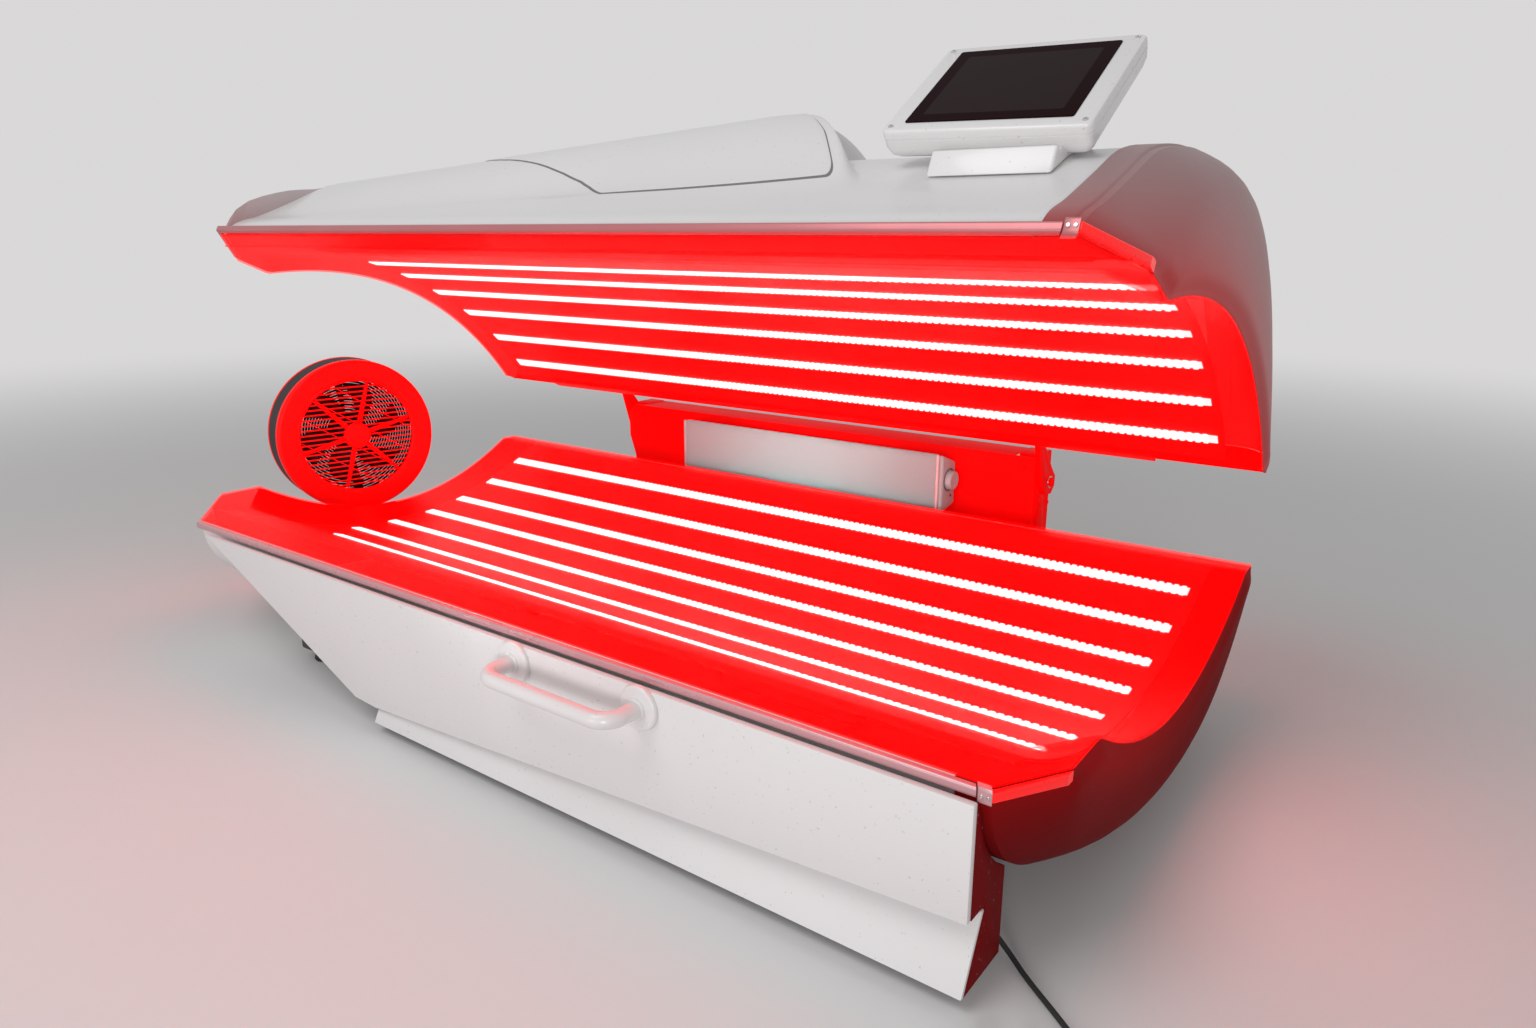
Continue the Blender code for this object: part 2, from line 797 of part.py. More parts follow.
def make_handle(root, white):
    face = -SKIRT_SHEET - GAP
    seat = face - FLANGE_THICK - GAP
    reach = face - HANDLE_REACH
    for name, side in (("handle_flange_left", -1), ("handle_flange_right", 1)):
        edge = FLANGE_RADIUS - FLANGE_THICK * 0.4
        profile = (
            (0, face),
            (FLANGE_RADIUS, face),
            (FLANGE_RADIUS, face - FLANGE_THICK * 0.6),
            (edge, face - FLANGE_THICK),
            (0, face - FLANGE_THICK),
        )
        place = (HANDLE_X + side * HANDLE_SPAN / 2, 0.0, HANDLE_Z)
        piece(name, turned(profile, 24, along_y), white, root, place)
    left, right = HANDLE_X - HANDLE_SPAN / 2, HANDLE_X + HANDLE_SPAN / 2
    points = [(left, seat, HANDLE_Z)]
    for x, turn in ((left, 1), (right, -1)):
        bend = []
        for k in range(7):
            angle = math.pi / 2 * k / 6
            along = HANDLE_BEND * (1 - math.cos(angle))
            back = HANDLE_BEND * (1 - math.sin(angle))
            bend.append((x + turn * along, reach + back, HANDLE_Z))
        points += bend if turn == 1 else bend[::-1]
    points.append((right, seat, HANDLE_Z))
    tube("handle_bar", points, HANDLE_RADIUS, white, root, 3)


# Column, hinge and lift


def make_column(root, grey, white):
    posts = (("left", FRAME_LEFT), ("right", FRAME_RIGHT - POST_WIDTH))
    for name, x in posts:
        low = (x, HINGE_Y - POST_DEPTH / 2, FRAME_TOP + GAP)
        high = (x + POST_WIDTH, HINGE_Y + POST_DEPTH / 2, POST_TOP)
        post = piece(f"hinge_post_{name}", soften(box(low, high), 0.004, 1, along=2), grey, root)
        bore = rod(SHAFT_RADIUS + RUNNING, x - POST_WIDTH, x + 2 * POST_WIDTH, 32, along_x)
        cutter = helper(f"bore_{name}", bore, root, (0.0, HINGE_Y, HINGE_Z))
        combine(post, cutter, "DIFFERENCE")

    # The cover is a folded sheet: front and top, open behind and below.
    back = HINGE_Y + POST_DEPTH / 2
    outline = (
        (COVER_FRONT, COVER_FOOT),
        (COVER_FRONT, COVER_TOP),
        (back, COVER_TOP),
        (back, COVER_TOP - COVER_SHEET),
        (COVER_FRONT + COVER_SHEET, COVER_TOP - COVER_SHEET),
        (COVER_FRONT + COVER_SHEET, COVER_FOOT),
    )
    low, high = FRAME_LEFT + POST_WIDTH + GAP, FRAME_RIGHT - POST_WIDTH - GAP
    piece("column_cover", prism(outline, along_x, low, high), white, root)


def crank_places():
    inset = POST_WIDTH + STRUT_INSET
    return (("left", FRAME_LEFT + inset), ("right", FRAME_RIGHT - inset))


def make_lift(canopy, root, steel, dark):
    """The shaft with its two cranks, the arms that carry the canopy, and the gas struts under the cranks."""
    low = FRAME_LEFT - ARM_THICK - 2 * GAP
    high = FRAME_RIGHT + ARM_THICK + 2 * GAP
    shaft = piece("hinge_shaft", rod(SHAFT_RADIUS, low, high, 24, along_x), steel, canopy)
    half = CRANK_WIDTH / 2
    for name, x in crank_places():
        outline = (
            (-CRANK_REACH - half, -half * 0.4),
            (-CRANK_REACH, -half * 0.4),
            (0.0, -half),
            (half * 0.8, 0.0),
            (0.0, half),
            (-CRANK_REACH - half, half * 0.6),
        )
        lump = prism(outline, along_x, x - CRANK_THICK / 2, x + CRANK_THICK / 2)
        combine(shaft, helper(f"crank_{name}", lump, canopy), "UNION")

    rail_back = CANOPY_BACK + GAP - HINGE_Y
    rail_low = CANOPY_RIM - HINGE_Z
    outline = (
        (rail_back, rail_low),
        (rail_back, rail_low + RAIL_HEIGHT),
        (rail_back + 0.07, rail_low + RAIL_HEIGHT),
        (-ARM_HUB * 0.2, ARM_HUB),
        (ARM_HUB * 0.7, ARM_HUB * 0.7),
        (ARM_HUB, 0.0),
        (ARM_HUB * 0.7, -ARM_HUB * 0.7),
        (-ARM_HUB * 0.2, -ARM_HUB),
        (-ARM_HUB * 1.4, -ARM_HUB * 0.6),
    )
    for name, x in (("left", FRAME_LEFT - GAP - ARM_THICK), ("right", FRAME_RIGHT + GAP)):
        arm = piece(f"hinge_arm_{name}", prism(outline, along_x, x, x + ARM_THICK), steel, canopy)
        bore = rod(SHAFT_RADIUS + GAP, x - ARM_THICK, x + 2 * ARM_THICK, 24, along_x)
        combine(arm, helper(f"arm_bore_{name}", bore, canopy), "DIFFERENCE")

    for name, x in crank_places():
        make_strut(name, x, root, dark, steel)


def crank_seat(angle):
    """The underside of a crank's end, in Y and Z, with the canopy at an angle above closed."""
    reach, drop = -CRANK_REACH - CRANK_WIDTH / 4, -CRANK_WIDTH * 0.2
    c, s = math.cos(-angle), math.sin(-angle)
    return (HINGE_Y + reach * c - drop * s, HINGE_Z + reach * s + drop * c)


def make_strut(name, x, root, dark, steel):
    """A gas strut whose rod end stands under the crank with a little play."""
    y, z = crank_seat(OPEN)
    foot = Vector((STRUT_FOOT_Y, FRAME_TOP + GAP + STRUT_RADIUS))
    run = Vector((y, z)) - foot
    lean = math.atan2(-run.x, run.y)
    pivot = empty(f"strut_axis_{name}", (x, foot.x, foot.y), root, (lean, 0.0, 0.0))
    body = (
        (0, -STRUT_RADIUS),
        (STRUT_RADIUS * 0.7, -STRUT_RADIUS * 0.7),
        (STRUT_RADIUS, 0.0),
        (STRUT_RADIUS, CYLINDER_LENGTH),
        (ROD_RADIUS + RUNNING, CYLINDER_LENGTH),
        (ROD_RADIUS + RUNNING, STRUT_RADIUS),
        (0, STRUT_RADIUS),
    )
    piece(f"strut_cylinder_{name}", turned(body, 16, along_z), dark, pivot)
    tip = run.length - ROD_SEAT
    stem = (
        (0, CYLINDER_LENGTH * 0.3),
        (ROD_RADIUS, CYLINDER_LENGTH * 0.3),
        (ROD_RADIUS, tip - ROD_RADIUS * 1.2),
        (ROD_RADIUS * 0.4, tip - ROD_RADIUS * 0.2),
        (0, tip),
    )
    piece(f"strut_rod_{name}", turned(stem, 16, along_z), steel, pivot)


def make_soundbar(root, light, grey, dark):
    bottom = BAR_TOP - BAR_HEIGHT
    back = COVER_FRONT - GAP
    body_low = (BAR_LEFT, BAR_FRONT + BAR_GRILLE + GAP, bottom)
    body_high = (BAR_RIGHT, back, BAR_TOP)
    piece("soundbar_body", soften(box(body_low, body_high), BAR_ROUND * 0.5, 2, along=0), light, root)
    grille_low = (BAR_LEFT, BAR_FRONT, bottom)
    grille_high = (BAR_RIGHT, BAR_FRONT + BAR_GRILLE, BAR_TOP)
    piece("soundbar_grille", soften(box(grille_low, grille_high), BAR_ROUND * 0.4, 3, along=0), light, root)
    caps = (
        ("soundbar_cap_left", BAR_LEFT - GAP - BAR_CAP_LEFT, BAR_LEFT - GAP),
        ("soundbar_cap_right", BAR_RIGHT + GAP, BAR_RIGHT + GAP + BAR_CAP_RIGHT),
    )
    for name, low, high in caps:
        form = box((low, BAR_FRONT, bottom), (high, back, BAR_TOP))
        piece(name, soften(form, BAR_ROUND, 3, along=0), grey, root)
    middle = (BAR_RIGHT + 2 * GAP + BAR_CAP_RIGHT, (BAR_FRONT + back) / 2, bottom + BAR_HEIGHT * 0.55)
    axis = empty("knob_axis", middle, root)
    profile = (
        (0, 0.0),
        (KNOB_RADIUS, 0.0),
        (KNOB_RADIUS, KNOB_LENGTH * 0.8),
        (KNOB_RADIUS * 0.88, KNOB_LENGTH),
        (0, KNOB_LENGTH),
    )
    piece("soundbar_knob", turned(profile, 20, along_x), dark, axis)


# Fan, drawn about its own axis, which points out of its mouth


def fan_centre():
    return (FAN_X, FAN_Y, fan_shelf_top() + GAP + FAN_RADIUS)


def fan_shelf_top():
    return cradle(FAN_Y) - ACRYLIC - 0.0245


def make_fan(root, white, metal, dark):
    turn = (0.0, 0.0, -math.radians(FAN_TURN_DEGREES))
    axis = empty("fan_axis", fan_centre(), root, turn)
    wall_in = FAN_RADIUS - FAN_WALL
    inside = math.cos(math.pi / FAN_STEPS)
    drum = (
        (FAN_MOUTH, -FAN_LIP),
        (FAN_MOUTH, -FAN_LIP * 0.3),
        (FAN_MOUTH + FAN_LIP * 0.5, 0.0),
        (FAN_RADIUS - FAN_LIP, 0.0),
        (FAN_RADIUS, -FAN_LIP),
        (FAN_RADIUS, -FAN_DEPTH),
        (wall_in, -FAN_DEPTH),
        (wall_in, -FAN_LIP),
    )
    piece("fan_drum", turned(drum, FAN_STEPS, along_x), white, axis)

    radii = [GRILLE_HUB * 0.2, GRILLE_HUB]
    pitch = (FAN_MOUTH * inside - GAP - GRILLE_HUB) / GRILLE_RINGS
    for k in range(GRILLE_RINGS):
        radii += [GRILLE_HUB + pitch * (k + 1) - GRILLE_WIRE, GRILLE_HUB + pitch * (k + 1)]
    per_spoke = 4
    half = CYCLE * 0.012
    angles = []
    for k in range(GRILLE_SPOKES):
        middle = CYCLE * k / GRILLE_SPOKES
        step = (CYCLE / GRILLE_SPOKES - 2 * half) / (per_spoke - 1)
        angles += [middle - half] + [middle + half + step * n for n in range(per_spoke - 1)]

    def plate(depth):
        return lambda a, r: (depth, r * math.cos(a), r * math.sin(a))

    grille = slab(angles, radii, plate(-FAN_LIP * 0.3), plate(-FAN_LIP * 0.3 - GRILLE_WIRE),
                  lambda i, j: j == 0 or j % 2 == 0 or i % per_spoke == 0, wrap=True)
    piece("fan_grille", grille, white, axis)

    ring = 0.012
    outer = wall_in * inside - GAP
    inner = (MOTOR_RADIUS + GAP) / math.cos(math.pi / GUARD_STEPS)
    guard_radii = (inner, inner + ring, outer - ring, outer)
    guard_angles = [CYCLE * k / GUARD_STEPS for k in range(GUARD_STEPS)]
    per_bar = GUARD_STEPS // GUARD_SPOKES
    back = -FAN_DEPTH + GAP
    guard = slab(guard_angles, guard_radii, plate(back + GRILLE_WIRE), plate(back),
                 lambda i, j: j != 1 or i % per_bar == 0, wrap=True)
    piece("fan_rear_guard", guard, dark, axis)
    piece("fan_motor", rod(MOTOR_RADIUS, back, back + MOTOR_DEPTH, 24, along_x), dark, axis)

    rotor_axis = empty("rotor_axis", (0.0, 0.0, 0.0), axis)
    rear = back + MOTOR_DEPTH + GAP
    piece("fan_rotor", rotor(rear, rear + BLADE_DEPTH), metal, rotor_axis)

    top = fan_shelf_top()
    shelf_left = FAN_X - FAN_DEPTH
    wall = -HALF - CAP_BULGE * 0.15
    outline = (
        (shelf_left, top - FAN_SHELF),
        (wall, top - FAN_SHELF),
        (wall, cradle(FAN_Y) - ACRYLIC * 0.5),
        (wall - FAN_SHELF, cradle(FAN_Y) - ACRYLIC * 0.5),
        (wall - FAN_SHELF, top),
        (shelf_left, top),
    )
    low, high = FAN_Y - FAN_SHELF_WIDTH / 2, FAN_Y + FAN_SHELF_WIDTH / 2
    piece("fan_bracket", prism(outline, along_y, low, high), white, root)


def rotor(rear, front):
    """A hub with blades that lean round as they go from back to front."""
    outline = []
    step = CYCLE / BLADES
    for k in range(BLADES):
        for share, radius in ((0.0, MOTOR_RADIUS), (0.1, BLADE_TIP), (0.52, BLADE_TIP), (0.68, MOTOR_RADIUS)):
            outline.append((radius, step * (k + share)))
    twist = math.radians(BLADE_TWIST_DEGREES)
    rings = []
    for x, lean in ((rear, 0.0), (front, twist)):
        rings.append([(x, r * math.cos(a + lean), r * math.sin(a + lean)) for r, a in outline])
    return lofted(rings)


# Canopy, closed, drawn from its hinge


def section_height(y):
    """A smooth curve through the shell's section."""
    points = [(row / SHELL_SECTION[-1][0] * CANOPY_BACK, height) for row, height in SHELL_SECTION]
    last = len(points) - 1
    k = 0
    while k < last - 1 and y > points[k + 1][0]:
        k += 1
    (y0, z0), (y1, z1) = points[k], points[k + 1]

    def slope(n):
        a, b = points[max(n - 1, 0)], points[min(n + 1, last)]
        return (b[1] - a[1]) / (b[0] - a[0])

    width = y1 - y0
    t = min(1.0, max(0.0, (y - y0) / width))
    a = (2 * t ** 3 - 3 * t ** 2 + 1) * z0 + (t ** 3 - 2 * t ** 2 + t) * width * slope(k)
    return a + (3 * t ** 2 - 2 * t ** 3) * z1 + (t ** 3 - t ** 2) * width * slope(k + 1)


def hump(x, y):
    """The swelling over the left three quarters, which rises to the right and ends in a steep face."""
    end = slanted(HUMP_END, y)
    rise = HUMP_RISE * min(1.0, max(0.0, (x - HUMP_LEFT) / (HUMP_END - HUMP_LEFT)))
    rise *= 1 - smooth_step((x - end) / HUMP_DROP)
    across = smooth_step((y - HUMP_FRONT) / HUMP_FLANK)
    across *= 1 - smooth_step((y - HUMP_FADE) / (HUMP_BACK - HUMP_FADE))
    return rise * across


def slanted(station, row):
    """The lines up the front flank lean: their feet stand further right than their tops."""
    places = (-TUB_HALF, HUMP_LEFT + 0.1, ACCESS_LEFT, ACCESS_RIGHT, HUMP_END + HUMP_DROP, TUB_HALF)
    shifts = (0.0, 0.0, SLANT_LEFT, SLANT_RIGHT, SLANT_RIGHT, 0.0)
    shift = 0.0
    for k in range(len(places) - 1):
        if places[k] <= station <= places[k + 1]:
            shift = blend(shifts[k], shifts[k + 1], (station - places[k]) / (places[k + 1] - places[k]))
    return station + shift * (1 - smooth_step((row - ACCESS_FRONT) / (ACCESS_BACK - ACCESS_FRONT)))


def shell_place(station, row, lift):
    return shell_point(slanted(station, row), row, lift)


def shell_point(x, row, lift):
    """A place on the shell, by a row measured behind its front edge where that is straight."""
    y = blend(front_at(x), CANOPY_BACK, row / CANOPY_BACK)
    return (x, y, CANOPY_RIM + section_height(row) + hump(x, row) + lift)


def shell_rows():
    """Rows across the shell, with one at each line that another piece starts or ends on."""
    front = front_at(0.0)
    sheet_back = (SHEET_BACK - front) / (CANOPY_BACK - front) * CANOPY_BACK
    rows = [0.0, 0.02, 0.05, 0.08, ACCESS_FRONT, PEDESTAL_FRONT, PEDESTAL_STEP, 0.185, 0.21, 0.24]
    rows += [PEDESTAL_BACK, 0.30, *spread(ACCESS_BACK, sheet_back, 13)]
    return [*rows, CANOPY_BACK]


def make_canopy(canopy, white, grey, clear, metal, lamp):
    seat = (0.0, -HINGE_Y, -HINGE_Z)
    rows = shell_rows()

    def sheet_under(x, row):
        return (x, blend(front_at(x), CANOPY_BACK, row / CANOPY_BACK), arch_row(row))

    def sheet_top(x, row):
        x, y, z = sheet_under(x, row)
        return (x, y, z + ACRYLIC)

    piece("canopy_acrylic", slab(sheet_stations(), rows[:-1], sheet_top, sheet_under), clear, canopy, seat)
    low = CANOPY_RIM - (TRIM_TOP - RIM_HEIGHT)
    piece("canopy_front_trim", trim(low, low + TRIM_HEIGHT), grey, canopy, seat)
    rail_low = (-RAIL_LENGTH / 2, CANOPY_BACK - RAIL_DEPTH, CANOPY_RIM)
    rail_high = (RAIL_LENGTH / 2, CANOPY_BACK, CANOPY_RIM + RAIL_HEIGHT)
    piece("canopy_rear_rail", box(rail_low, rail_high), metal, canopy, seat)

    stations = [-TUB_HALF, HUMP_LEFT, sheet_stations()[1], ACCESS_LEFT, 0.0, ACCESS_RIGHT]
    stations += spread(HUMP_END, HUMP_END + HUMP_DROP, 5) + [TUB_HALF]

    def shell_top(x, row):
        return shell_place(x, row, 0.0)

    def shell_under(x, row):
        return shell_place(x, row, -SHELL_WALL)

    piece("canopy_shell", slab(stations, rows, shell_top, shell_under), white, canopy, seat)
    for name, side in (("canopy_end_cap_left", -1), ("canopy_end_cap_right", 1)):
        piece(name, canopy_end_cap(side, rows), grey, canopy, seat)

    def cover_under(x, row):
        return shell_place(x, row, 2 * GAP)

    def cover_top(x, row):
        return shell_place(x, row, 2 * GAP + ACCESS_SHEET)

    cover_xs = [x for x in stations if ACCESS_LEFT <= x <= ACCESS_RIGHT]
    cover_rows = [row for row in rows if ACCESS_FRONT <= row <= ACCESS_BACK]
    piece("canopy_access_cover", slab(cover_xs, cover_rows, cover_top, cover_under), white, canopy, seat)

    back = SHEET_BACK - TUB_WALL
    centres = [ARCH_MIDDLE + ARCH_HALF * share for share in CANOPY_ROWS]

    def tray_under(x, y):
        return (x, y, arch(y) + ACRYLIC + 6 * GAP + tray_drop(y, back))

    def tray_top(x, y):
        return (x, y, tray_under(x, y)[2] + TRAY_SHEET)

    def lamp_top(x, y):
        return (x, y, tray_under(x, y)[2] - GAP)

    def lamp_under(x, y):
        return (x, y, tray_under(x, y)[2] - GAP - STRIP_THICK)

    across = tray_rows(centres, back)
    piece("canopy_led_tray", slab((TRAY_LEFT, TRAY_RIGHT), across, tray_top, tray_under), metal, canopy, seat)
    piece("canopy_led_strips", strips(centres, lamp_top, lamp_under), lamp, canopy, seat)


def canopy_end_cap(side, rows):
    """A rounded end from the shell's last section down to the edge of the acrylic sheet."""
    reach = HALF - TUB_HALF - GAP
    power = 2 / SHELL_CAP_ROUNDNESS

    def skin(turn, row, inset, drop):
        out = math.cos(turn) ** power if turn < math.pi / 2 else 0.0
        up = math.sin(turn) ** power
        bulge = SHELL_CAP_BULGE * math.sin(2 * turn) * math.sin(math.pi * row / CANOPY_BACK)
        x = side * (TUB_HALF + GAP + (reach - inset) * out)
        front = front_at(x)
        x += side * bulge
        y = blend(front + inset, CANOPY_BACK - inset, row / CANOPY_BACK)
        rim = arch_row((y - front) / (CANOPY_BACK - front) * CANOPY_BACK) + ACRYLIC + GAP + inset * 0.2
        return (x, y, blend(rim, shell_point(side * TUB_HALF, row, -drop)[2], up))

    def outer(turn, row):
        return skin(turn, row, 0.0, 0.0)

    def inner(turn, row):
        return skin(turn, row, TUB_WALL, SHELL_WALL)

    turns = [share * math.pi / 2 for share in (0.0, 0.04, 0.15, 0.3, 0.5, 0.7, 0.86, 0.96, 1.0)]
    return slab(turns, rows, outer, inner)


def make_tablet(canopy, white, black):
    tilt = math.radians(TABLET_TILT_DEGREES)
    place = (TABLET_X, TABLET_FOOT_Y - HINGE_Y, TABLET_FOOT_Z - HINGE_Z)
    axis = empty("tablet_axis", place, canopy, (tilt, 0.0, 0.0))
    half = TABLET_WIDTH / 2
    housing = box((-half, 0.0, -TABLET_THICK), (half, TABLET_HEIGHT, 0.0))
    piece("tablet_housing", soften(housing, TABLET_ROUND, 2, along=2), white, axis)
    low = (-half + GLASS_MARGIN_X, GLASS_MARGIN_Y, GAP)
    high = (half - GLASS_MARGIN_X, TABLET_HEIGHT - GLASS_MARGIN_Y, GAP + GLASS_THICK)
    piece("tablet_glass", soften(box(low, high), 0.004, 2, along=2), black, axis)

    # The pedestal fills the wedge between the shell and the tablet's back.
    back_y = TABLET_FOOT_Y + TABLET_THICK * math.sin(tilt)
    back_z = TABLET_FOOT_Z - TABLET_THICK * math.cos(tilt)
    middle = TABLET_X + PEDESTAL_OFF
    xs = (middle - PEDESTAL_WIDTH / 2, middle + PEDESTAL_WIDTH / 2)
    rows = [row for row in shell_rows() if PEDESTAL_FRONT <= row <= PEDESTAL_BACK]

    def under(x, row):
        return shell_point(x, row, 2 * GAP)

    def over(x, row):
        y = shell_point(x, row, 0.0)[1]
        lean_y = shell_point(x, max(row, PEDESTAL_STEP), 0.0)[1]
        return (x, y, back_z + math.tan(tilt) * (lean_y - back_y) - 2 * GAP)

    piece("tablet_pedestal", slab(xs, rows, over, under), white, canopy, (0.0, -HINGE_Y, -HINGE_Z))


# Mains cord


def smooth_route(points, steps):
    """A smooth curve through the route's points."""
    ends = [points[0], *points, points[-1]]
    out = []
    for k in range(len(points) - 1):
        a, b, c, d = (Vector(p) for p in ends[k:k + 4])
        for n in range(steps):
            t = n / steps
            out.append(0.5 * (2 * b + (c - a) * t + (2 * a - 5 * b + 4 * c - d) * t * t
                              + (3 * b - a - 3 * c + d) * t ** 3))
    out.append(Vector(points[-1]))
    return out


def coil_path(start, heading):
    """Loops to the right that spiral in on the floor, climb a layer at the middle and spiral out again."""
    outer = COIL_INNER + COIL_PITCH * COIL_TURNS
    right = Vector((heading.y, -heading.x))
    first = Vector((start.x, start.y)) + heading * CORD_DIAMETER
    middle = first + right * outer
    base = math.atan2(-right.y, -right.x)
    climb_turn = 0.5
    total = 2 * COIL_TURNS + climb_turn
    points = [Vector(start)]
    count = round(COIL_POINTS * total)
    for k in range(count + 1):
        turn = total * k / count
        climb = smooth_step((turn - COIL_TURNS) / climb_turn)
        inward = min(turn, COIL_TURNS)
        outward = max(0.0, turn - COIL_TURNS - climb_turn)
        radius = outer - COIL_PITCH * (inward - outward)
        angle = base - CYCLE * turn
        place = middle + Vector((math.cos(angle), math.sin(angle))) * radius
        points.append(Vector((place.x, place.y, start.z + COIL_LAYER * climb)))
    across = points[-1] - Vector((*middle, points[-1].z))
    run = Vector((across.y, -across.x, 0.0)).normalized()
    points.append(points[-1] + run * COIL_TAIL)
    return points, middle, run


def least_gap(points):
    """The nearest that two stretches of the coil come to each other, wall to wall."""
    fine = []
    for a, b in zip(points, points[1:]):
        fine += [a.lerp(b, n / 4) for n in range(4)]
    apart = 0.6 * CYCLE * COIL_INNER
    lengths = [0.0]
    for a, b in zip(fine, fine[1:]):
        lengths.append(lengths[-1] + (b - a).length)
    near = 1.0
    for i, a in enumerate(fine):
        for j in range(i + 1, len(fine)):
            if lengths[j] - lengths[i] > apart:
                near = min(near, (a - fine[j]).length)
    return near - CORD_DIAMETER


def make_cord(root, rubber, dark):
    nut = FRAME_RIGHT + RAIL_OVERHANG + GAP
    profile = (
        (0, 0.0),
        (GLAND_NUT_RADIUS, 0.0),
        (GLAND_NUT_RADIUS, GLAND_NUT),
        (GLAND_NUT_RADIUS * 0.75, GLAND_NUT),
        (GLAND_TIP_RADIUS, GLAND_NUT + GLAND_TAPER),
        (0, GLAND_NUT + GLAND_TAPER),
    )
    height = FOOT_HEIGHT + FRAME_TUBE / 2
    piece("cord_gland", turned(profile, 16, along_x), dark, root, (nut, FRAME_FRONT + RAIL_WIDTH / 2, height))
    mouth = Vector((nut + GLAND_NUT + GLAND_TAPER + GAP, FRAME_FRONT + RAIL_WIDTH / 2, height))
    route = smooth_route((mouth, *CORD_ROUTE), CORD_STEPS)
    tube("mains_cord", route, CORD_RADIUS, rubber, root, 2)

    last = route[-1] - route[-2]
    heading = Vector((last.x, last.y)).normalized()
    start = route[-1] + Vector((*heading, 0.0)) * GAP
    loops, middle, run = coil_path(start, heading)
    tube("cord_coil", loops, CORD_RADIUS, rubber, root, 1)
    print("cord length", round(sum((b - a).length for a, b in zip(route, route[1:])), 3), "free and",
          round(sum((b - a).length for a, b in zip(loops, loops[1:])), 3), "in the coil")
    print("least gap in the coil, mm", round(least_gap(loops) * 1000, 2))

    # The tie is a flat band round the bundle, on the side away from the cord's two ends.
    inner, outer = COIL_INNER - CORD_RADIUS, COIL_INNER + COIL_PITCH * COIL_TURNS + CORD_RADIUS
    low, high = start.z - CORD_RADIUS, start.z + COIL_LAYER + CORD_RADIUS
    rs = (inner - TIE_CLEAR - TIE_SHEET, inner - TIE_CLEAR, outer + TIE_CLEAR, outer + TIE_CLEAR + TIE_SHEET)
    zs = (low - GAP * 2 - TIE_SHEET, low - GAP * 2, high + TIE_CLEAR, high + TIE_CLEAR + TIE_SHEET)
    across = Vector((start.x, start.y)) - middle
    bearing = math.atan2(across.y, across.x) + math.radians(90)

    def band(off):
        return lambda r, z: (r, off, z)

    form = slab(rs, zs, band(-TIE_WIDTH / 2), band(TIE_WIDTH / 2), lambda i, j: (i, j) != (1, 1))
    bmesh.ops.rotate(form, cent=(0, 0, 0), matrix=Matrix.Rotation(bearing, 3, "Z"), verts=form.verts[:])
    piece("cord_tie", form, dark, root, (middle.x, middle.y, 0.0))
    make_plug(root, dark, loops[-1], run)


def make_plug(root, dark, end, run):
    half_high = end.z - GAP
    sections = (
        (0.0, 0.0055, 0.0055),
        (0.012, 0.0065, 0.0065),
        (0.016, PLUG_WIDTH * 0.36, half_high * 0.8),
        (0.024, PLUG_WIDTH / 2, half_high),
        (PLUG_LENGTH, PLUG_WIDTH / 2, half_high),
    )
    rings = []
    for x, wide, high in sections:
        ring = []
        for k in range(16):
            a = CYCLE * k / 16
            power = 0.8
            y = wide * math.copysign(abs(math.cos(a)) ** power, math.cos(a))
            z = high * math.copysign(abs(math.sin(a)) ** power, math.sin(a))
            ring.append((x, y, z))
        rings.append(ring)
    turn = (0.0, 0.0, math.atan2(run.y, run.x))
    axis = empty("plug_axis", end + run * GAP, root, turn)
    plug = piece("mains_plug", lofted(rings), dark, axis)
    for side in (-1, 1):
        pin = rod(PIN_RADIUS, PLUG_LENGTH - 0.004, PLUG_LENGTH + PIN_LENGTH, 10, along_x)
        combine(plug, helper(f"plug_pin_{side}", pin, axis, (0.0, side * PIN_PITCH / 2, 0.0)), "UNION")


def stand_on_origin(root):
    """Moves the whole so that the origin is on the floor, under the middle of the object without its cord."""
    loose = ("mains_cord", "cord_coil", "cord_tie", "mains_plug")
    bpy.context.view_layer.update()
    graph = bpy.context.evaluated_depsgraph_get()
    corners = []
    for thing in bpy.context.scene.objects:
        if thing.type == "EMPTY" or thing.hide_render or thing.name in loose:
            continue
        ready = thing.evaluated_get(graph)
        mesh = ready.to_mesh()
        corners += [ready.matrix_world @ v.co for v in mesh.vertices]
        ready.to_mesh_clear()
    for axis in (0, 1):
        values = [c[axis] for c in corners]
        root.location[axis] -= (min(values) + max(values)) / 2
    root.location[2] -= min(c.z for c in corners)
    print("origin moved by", [round(v, 5) for v in root.location])


